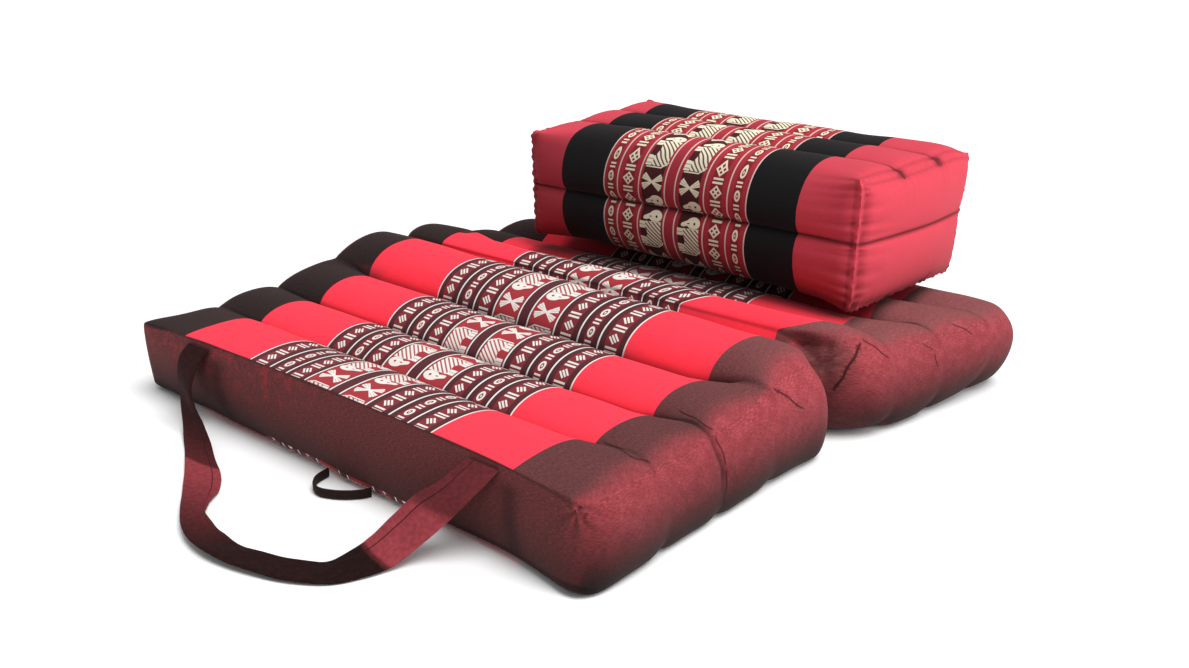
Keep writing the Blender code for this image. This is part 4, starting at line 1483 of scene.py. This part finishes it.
# ================================================================ bands
def smooth_between(before, start, end, after, share):
    """A value on the smooth curve through a row of values, between its second and third."""
    return 0.5 * (2 * start + (end - before) * share
                  + (2 * before - 5 * start + 4 * end - after) * share ** 2
                  + (3 * start - before - 3 * end + after) * share ** 3)


def route(stations, steps):
    """Points and across directions along a band, read from the smooth curve through its stations."""
    places = []
    last = len(stations) - 1
    for number in range(last):
        window = [stations[min(max(number + shift, 0), last)] for shift in (-1, 0, 1, 2)]
        for step in range(steps + (number == last - 1)):
            x, y, z, heading, lift = (smooth_between(*values, step / steps) for values in zip(*window))
            heading = math.radians(heading)
            lift = math.radians(lift)
            across = Vector((math.cos(heading) * math.cos(lift), math.sin(heading) * math.cos(lift),
                             math.sin(lift)))
            places.append((Vector((x, y, z)), across))
    return places


def band(name, stations, width, thickness, lanes, steps, relief=None, reach=None):
    """A closed band of folded cloth with rounded edges along its route. reach widens or narrows
    its inner half."""
    places = route(stations, steps)
    section = []
    for lane in range(lanes + 1):
        share = lane / lanes * 2 - 1
        section.append((share, 1.0))
    for lane in range(lanes + 1):
        share = 1 - lane / lanes * 2
        section.append((share, -1.0))
    points = []
    lengths = []
    run = 0.0
    for number, (middle, across) in enumerate(places):
        before = places[max(number - 1, 0)][0]
        after = places[min(number + 1, len(places) - 1)][0]
        forward = (after - before).normalized()
        upward = across.cross(forward).normalized()
        run += (middle - before).length
        lengths.append(run)
        for share, side in section:
            edge = 1.0 - 0.65 * max(0.0, abs(share) - 0.86) / 0.14
            rise = side * thickness / 2 * edge
            if relief:
                rise += relief(share, run)
            wide = share * (1.0 + reach(run)) if reach and share > 0 else share
            points.append(middle + across * (wide * width / 2) + upward * rise)
    ring = len(section)
    quads = []
    for number in range(len(places) - 1):
        for corner in range(ring):
            following = (corner + 1) % ring
            quads.append((number * ring + corner, number * ring + following,
                          (number + 1) * ring + following, (number + 1) * ring + corner))
    array = np.array([tuple(point) for point in points])
    mesh = bpy.data.meshes.new(name)
    faces = [tuple(quad) for quad in quads]
    faces.append(tuple(range(ring))[::-1])
    faces.append(tuple((len(places) - 1) * ring + corner for corner in range(ring)))
    mesh.from_pydata(to_world(array).tolist(), [], faces)
    mesh.validate()
    form = bmesh.new()
    form.from_mesh(mesh)
    bmesh.ops.recalc_face_normals(form, faces=form.faces)
    form.to_mesh(mesh)
    form.free()
    shares = np.array([section[corner][0] for corner in range(ring)] * len(places))
    runs = np.repeat(np.array(lengths), ring)
    corners = np.empty(len(mesh.loops), dtype=np.int32)
    mesh.loops.foreach_get("vertex_index", corners)
    flat = np.stack((shares[corners] * width / 2 * 1000, runs[corners] * 1000), axis=1)
    put_map(mesh, "pattern", flat)
    put_map(mesh, "grain", flat)
    piece = bpy.data.objects.new(name, mesh)
    bpy.context.scene.collection.objects.link(piece)
    return piece, runs, shares


# The strap's tone along its run in metres, 0 dark to 1 red: painted light and shade on the cloth's two tones.
STRAP_SHOT_AND_PAINTED_LIGHT_TONES = ((0.0, 0.40), (0.046, 0.45), (0.054, 1.0), (0.098, 1.0), (0.104, 0.02), (0.22, 0.04),
               (0.26, 0.22), (0.29, 0.42), (0.335, 0.85), (0.3675, 1.0), (0.3695, 0.30), (0.42, 0.10), (0.50, 0.05))
STRAP_REACH = ((0.0, 0.10), (0.03, 0.40), (0.06, 0.50), (0.10, 0.40), (0.13, 0.05), (0.24, -0.2),
               (0.262, -0.45), (0.282, -0.80), (0.300, -0.60), (0.318, -0.15), (0.34, 0.0), (0.5, 0.0))
STRAP_FOLDS = (0.101, 0.3685)


def strap():
    def relief(share, run):
        return 0.0006 * math.sin(run * 130 + share * 2) * math.sin(run * 37)

    def reach(run):
        return float(np.interp(run, *zip(*STRAP_REACH)))

    piece, runs, shares = band("carry_strap", STRAP_STATIONS, STRAP_WIDTH, STRAP_THICKNESS * 0.8, 14, 10,
                               relief, reach)
    slanted = runs + shares * np.interp(runs, (0.0, 0.20, 0.25, 0.50), (-0.0045, -0.0045, 0.0085, 0.0085))
    put_values(piece.data, "shot_and_painted_light_tone", np.interp(slanted, *zip(*STRAP_SHOT_AND_PAINTED_LIGHT_TONES)))
    # Painted shade along the strap's two folds.
    crease = sum(bump_at(slanted, fold, 0.0014) for fold in STRAP_FOLDS) * 0.6
    put_values(piece.data, "crease", crease)
    piece.data.shade_smooth()
    piece.data.set_sharp_from_angle(angle=math.radians(60))
    piece.data.materials.append(strap_material())
    dress(piece, "carry_handle")
    return piece


def closing_loop():
    piece, runs, _ = band("closing_loop_tape", LOOP_STATIONS, LOOP_HEIGHT, LOOP_THICKNESS * 0.8, 4, 8)
    put_values(piece.data, "crease", np.zeros(len(runs)))
    piece.data.shade_smooth()
    piece.data.materials.append(loop_material())
    dress(piece, "closing_loop")
    return piece


# ================================================================ stage
def add_light(name, place, target, size, power, colour=(1.0, 1.0, 1.0)):
    light = bpy.data.lights.new(name, "AREA")
    light.shape = "RECTANGLE"
    light.size = size[0]
    light.size_y = size[1]
    light.energy = power
    light.color = colour
    holder = bpy.data.objects.new(name, light)
    holder.location = place
    direction = Vector(target) - Vector(place)
    holder.rotation_euler = direction.to_track_quat("-Z", "Y").to_euler()
    bpy.context.scene.collection.objects.link(holder)
    return holder


SUN_FROM = (0.42, -0.06, 0.90)


def add_stage():
    floor_mesh = bpy.data.meshes.new("floor")
    form = bmesh.new()
    bmesh.ops.create_grid(form, x_segments=8, y_segments=8, size=12.0)
    form.to_mesh(floor_mesh)
    form.free()
    floor = bpy.data.objects.new("floor", floor_mesh)
    floor.location.z = -0.0005
    floor_mesh.materials.append(floor_material())
    bpy.context.scene.collection.objects.link(floor)
    world = bpy.data.worlds.new("studio")
    world.use_nodes = True
    world.node_tree.nodes["Background"].inputs[0].default_value = (1.0, 1.0, 1.0, 1.0)
    world.node_tree.nodes["Background"].inputs[1].default_value = 0.48
    bpy.context.scene.world = world
    sun = bpy.data.lights.new("sun", "SUN")
    sun.energy = 2.7
    sun.angle = math.radians(35)
    holder = bpy.data.objects.new("sun", sun)
    holder.rotation_euler = Vector(SUN_FROM).to_track_quat("Z", "Y").to_euler()
    bpy.context.scene.collection.objects.link(holder)
    add_light("side", (1.9, 0.3, 0.9), (0.0, 0.0, 0.05), (1.2, 1.0), 14.0)


CAMERA_PLACE = (0.7983, -0.8144, 0.4828)
CAMERA_AZIMUTH = math.radians(-42.336)
CAMERA_DOWN = math.radians(20.170)
CAMERA_ROLL = math.radians(-0.283)
FOCAL_PIXELS = 1445.15
SENSOR_WIDTH = 36.0


def add_camera():
    camera = bpy.data.cameras.new("camera")
    camera.sensor_width = SENSOR_WIDTH
    camera.lens = FOCAL_PIXELS / IMAGE_WIDTH * SENSOR_WIDTH
    camera.clip_end = 50.0
    forward = Vector((math.sin(CAMERA_AZIMUTH) * math.cos(CAMERA_DOWN),
                      math.cos(CAMERA_AZIMUTH) * math.cos(CAMERA_DOWN), -math.sin(CAMERA_DOWN)))
    level = forward.cross(Vector((0, 0, 1))).normalized()
    upward = level.cross(forward)
    right = math.cos(CAMERA_ROLL) * level + math.sin(CAMERA_ROLL) * upward
    up = -math.sin(CAMERA_ROLL) * level + math.cos(CAMERA_ROLL) * upward
    holder = bpy.data.objects.new("camera", camera)
    holder.matrix_world = Matrix.Translation(CAMERA_PLACE) @ Matrix((right, up, -forward)).transposed().to_4x4()
    bpy.context.scene.collection.objects.link(holder)
    bpy.context.scene.camera = holder


bpy.context.scene.view_settings.view_transform = "Standard"
add_camera()
add_stage()
MAT_MATERIAL = mat_material()
BLOCK_MATERIAL = block_material()
panel("front_panel_cover", front_panel_points, FRONT_TUBES, FRONT_FADES, "mat_front_panel")
panel("rear_panel_cover", rear_panel_points, REAR_TUBES, REAR_FADES, "mat_rear_panel")
block()
strap()
closing_loop()
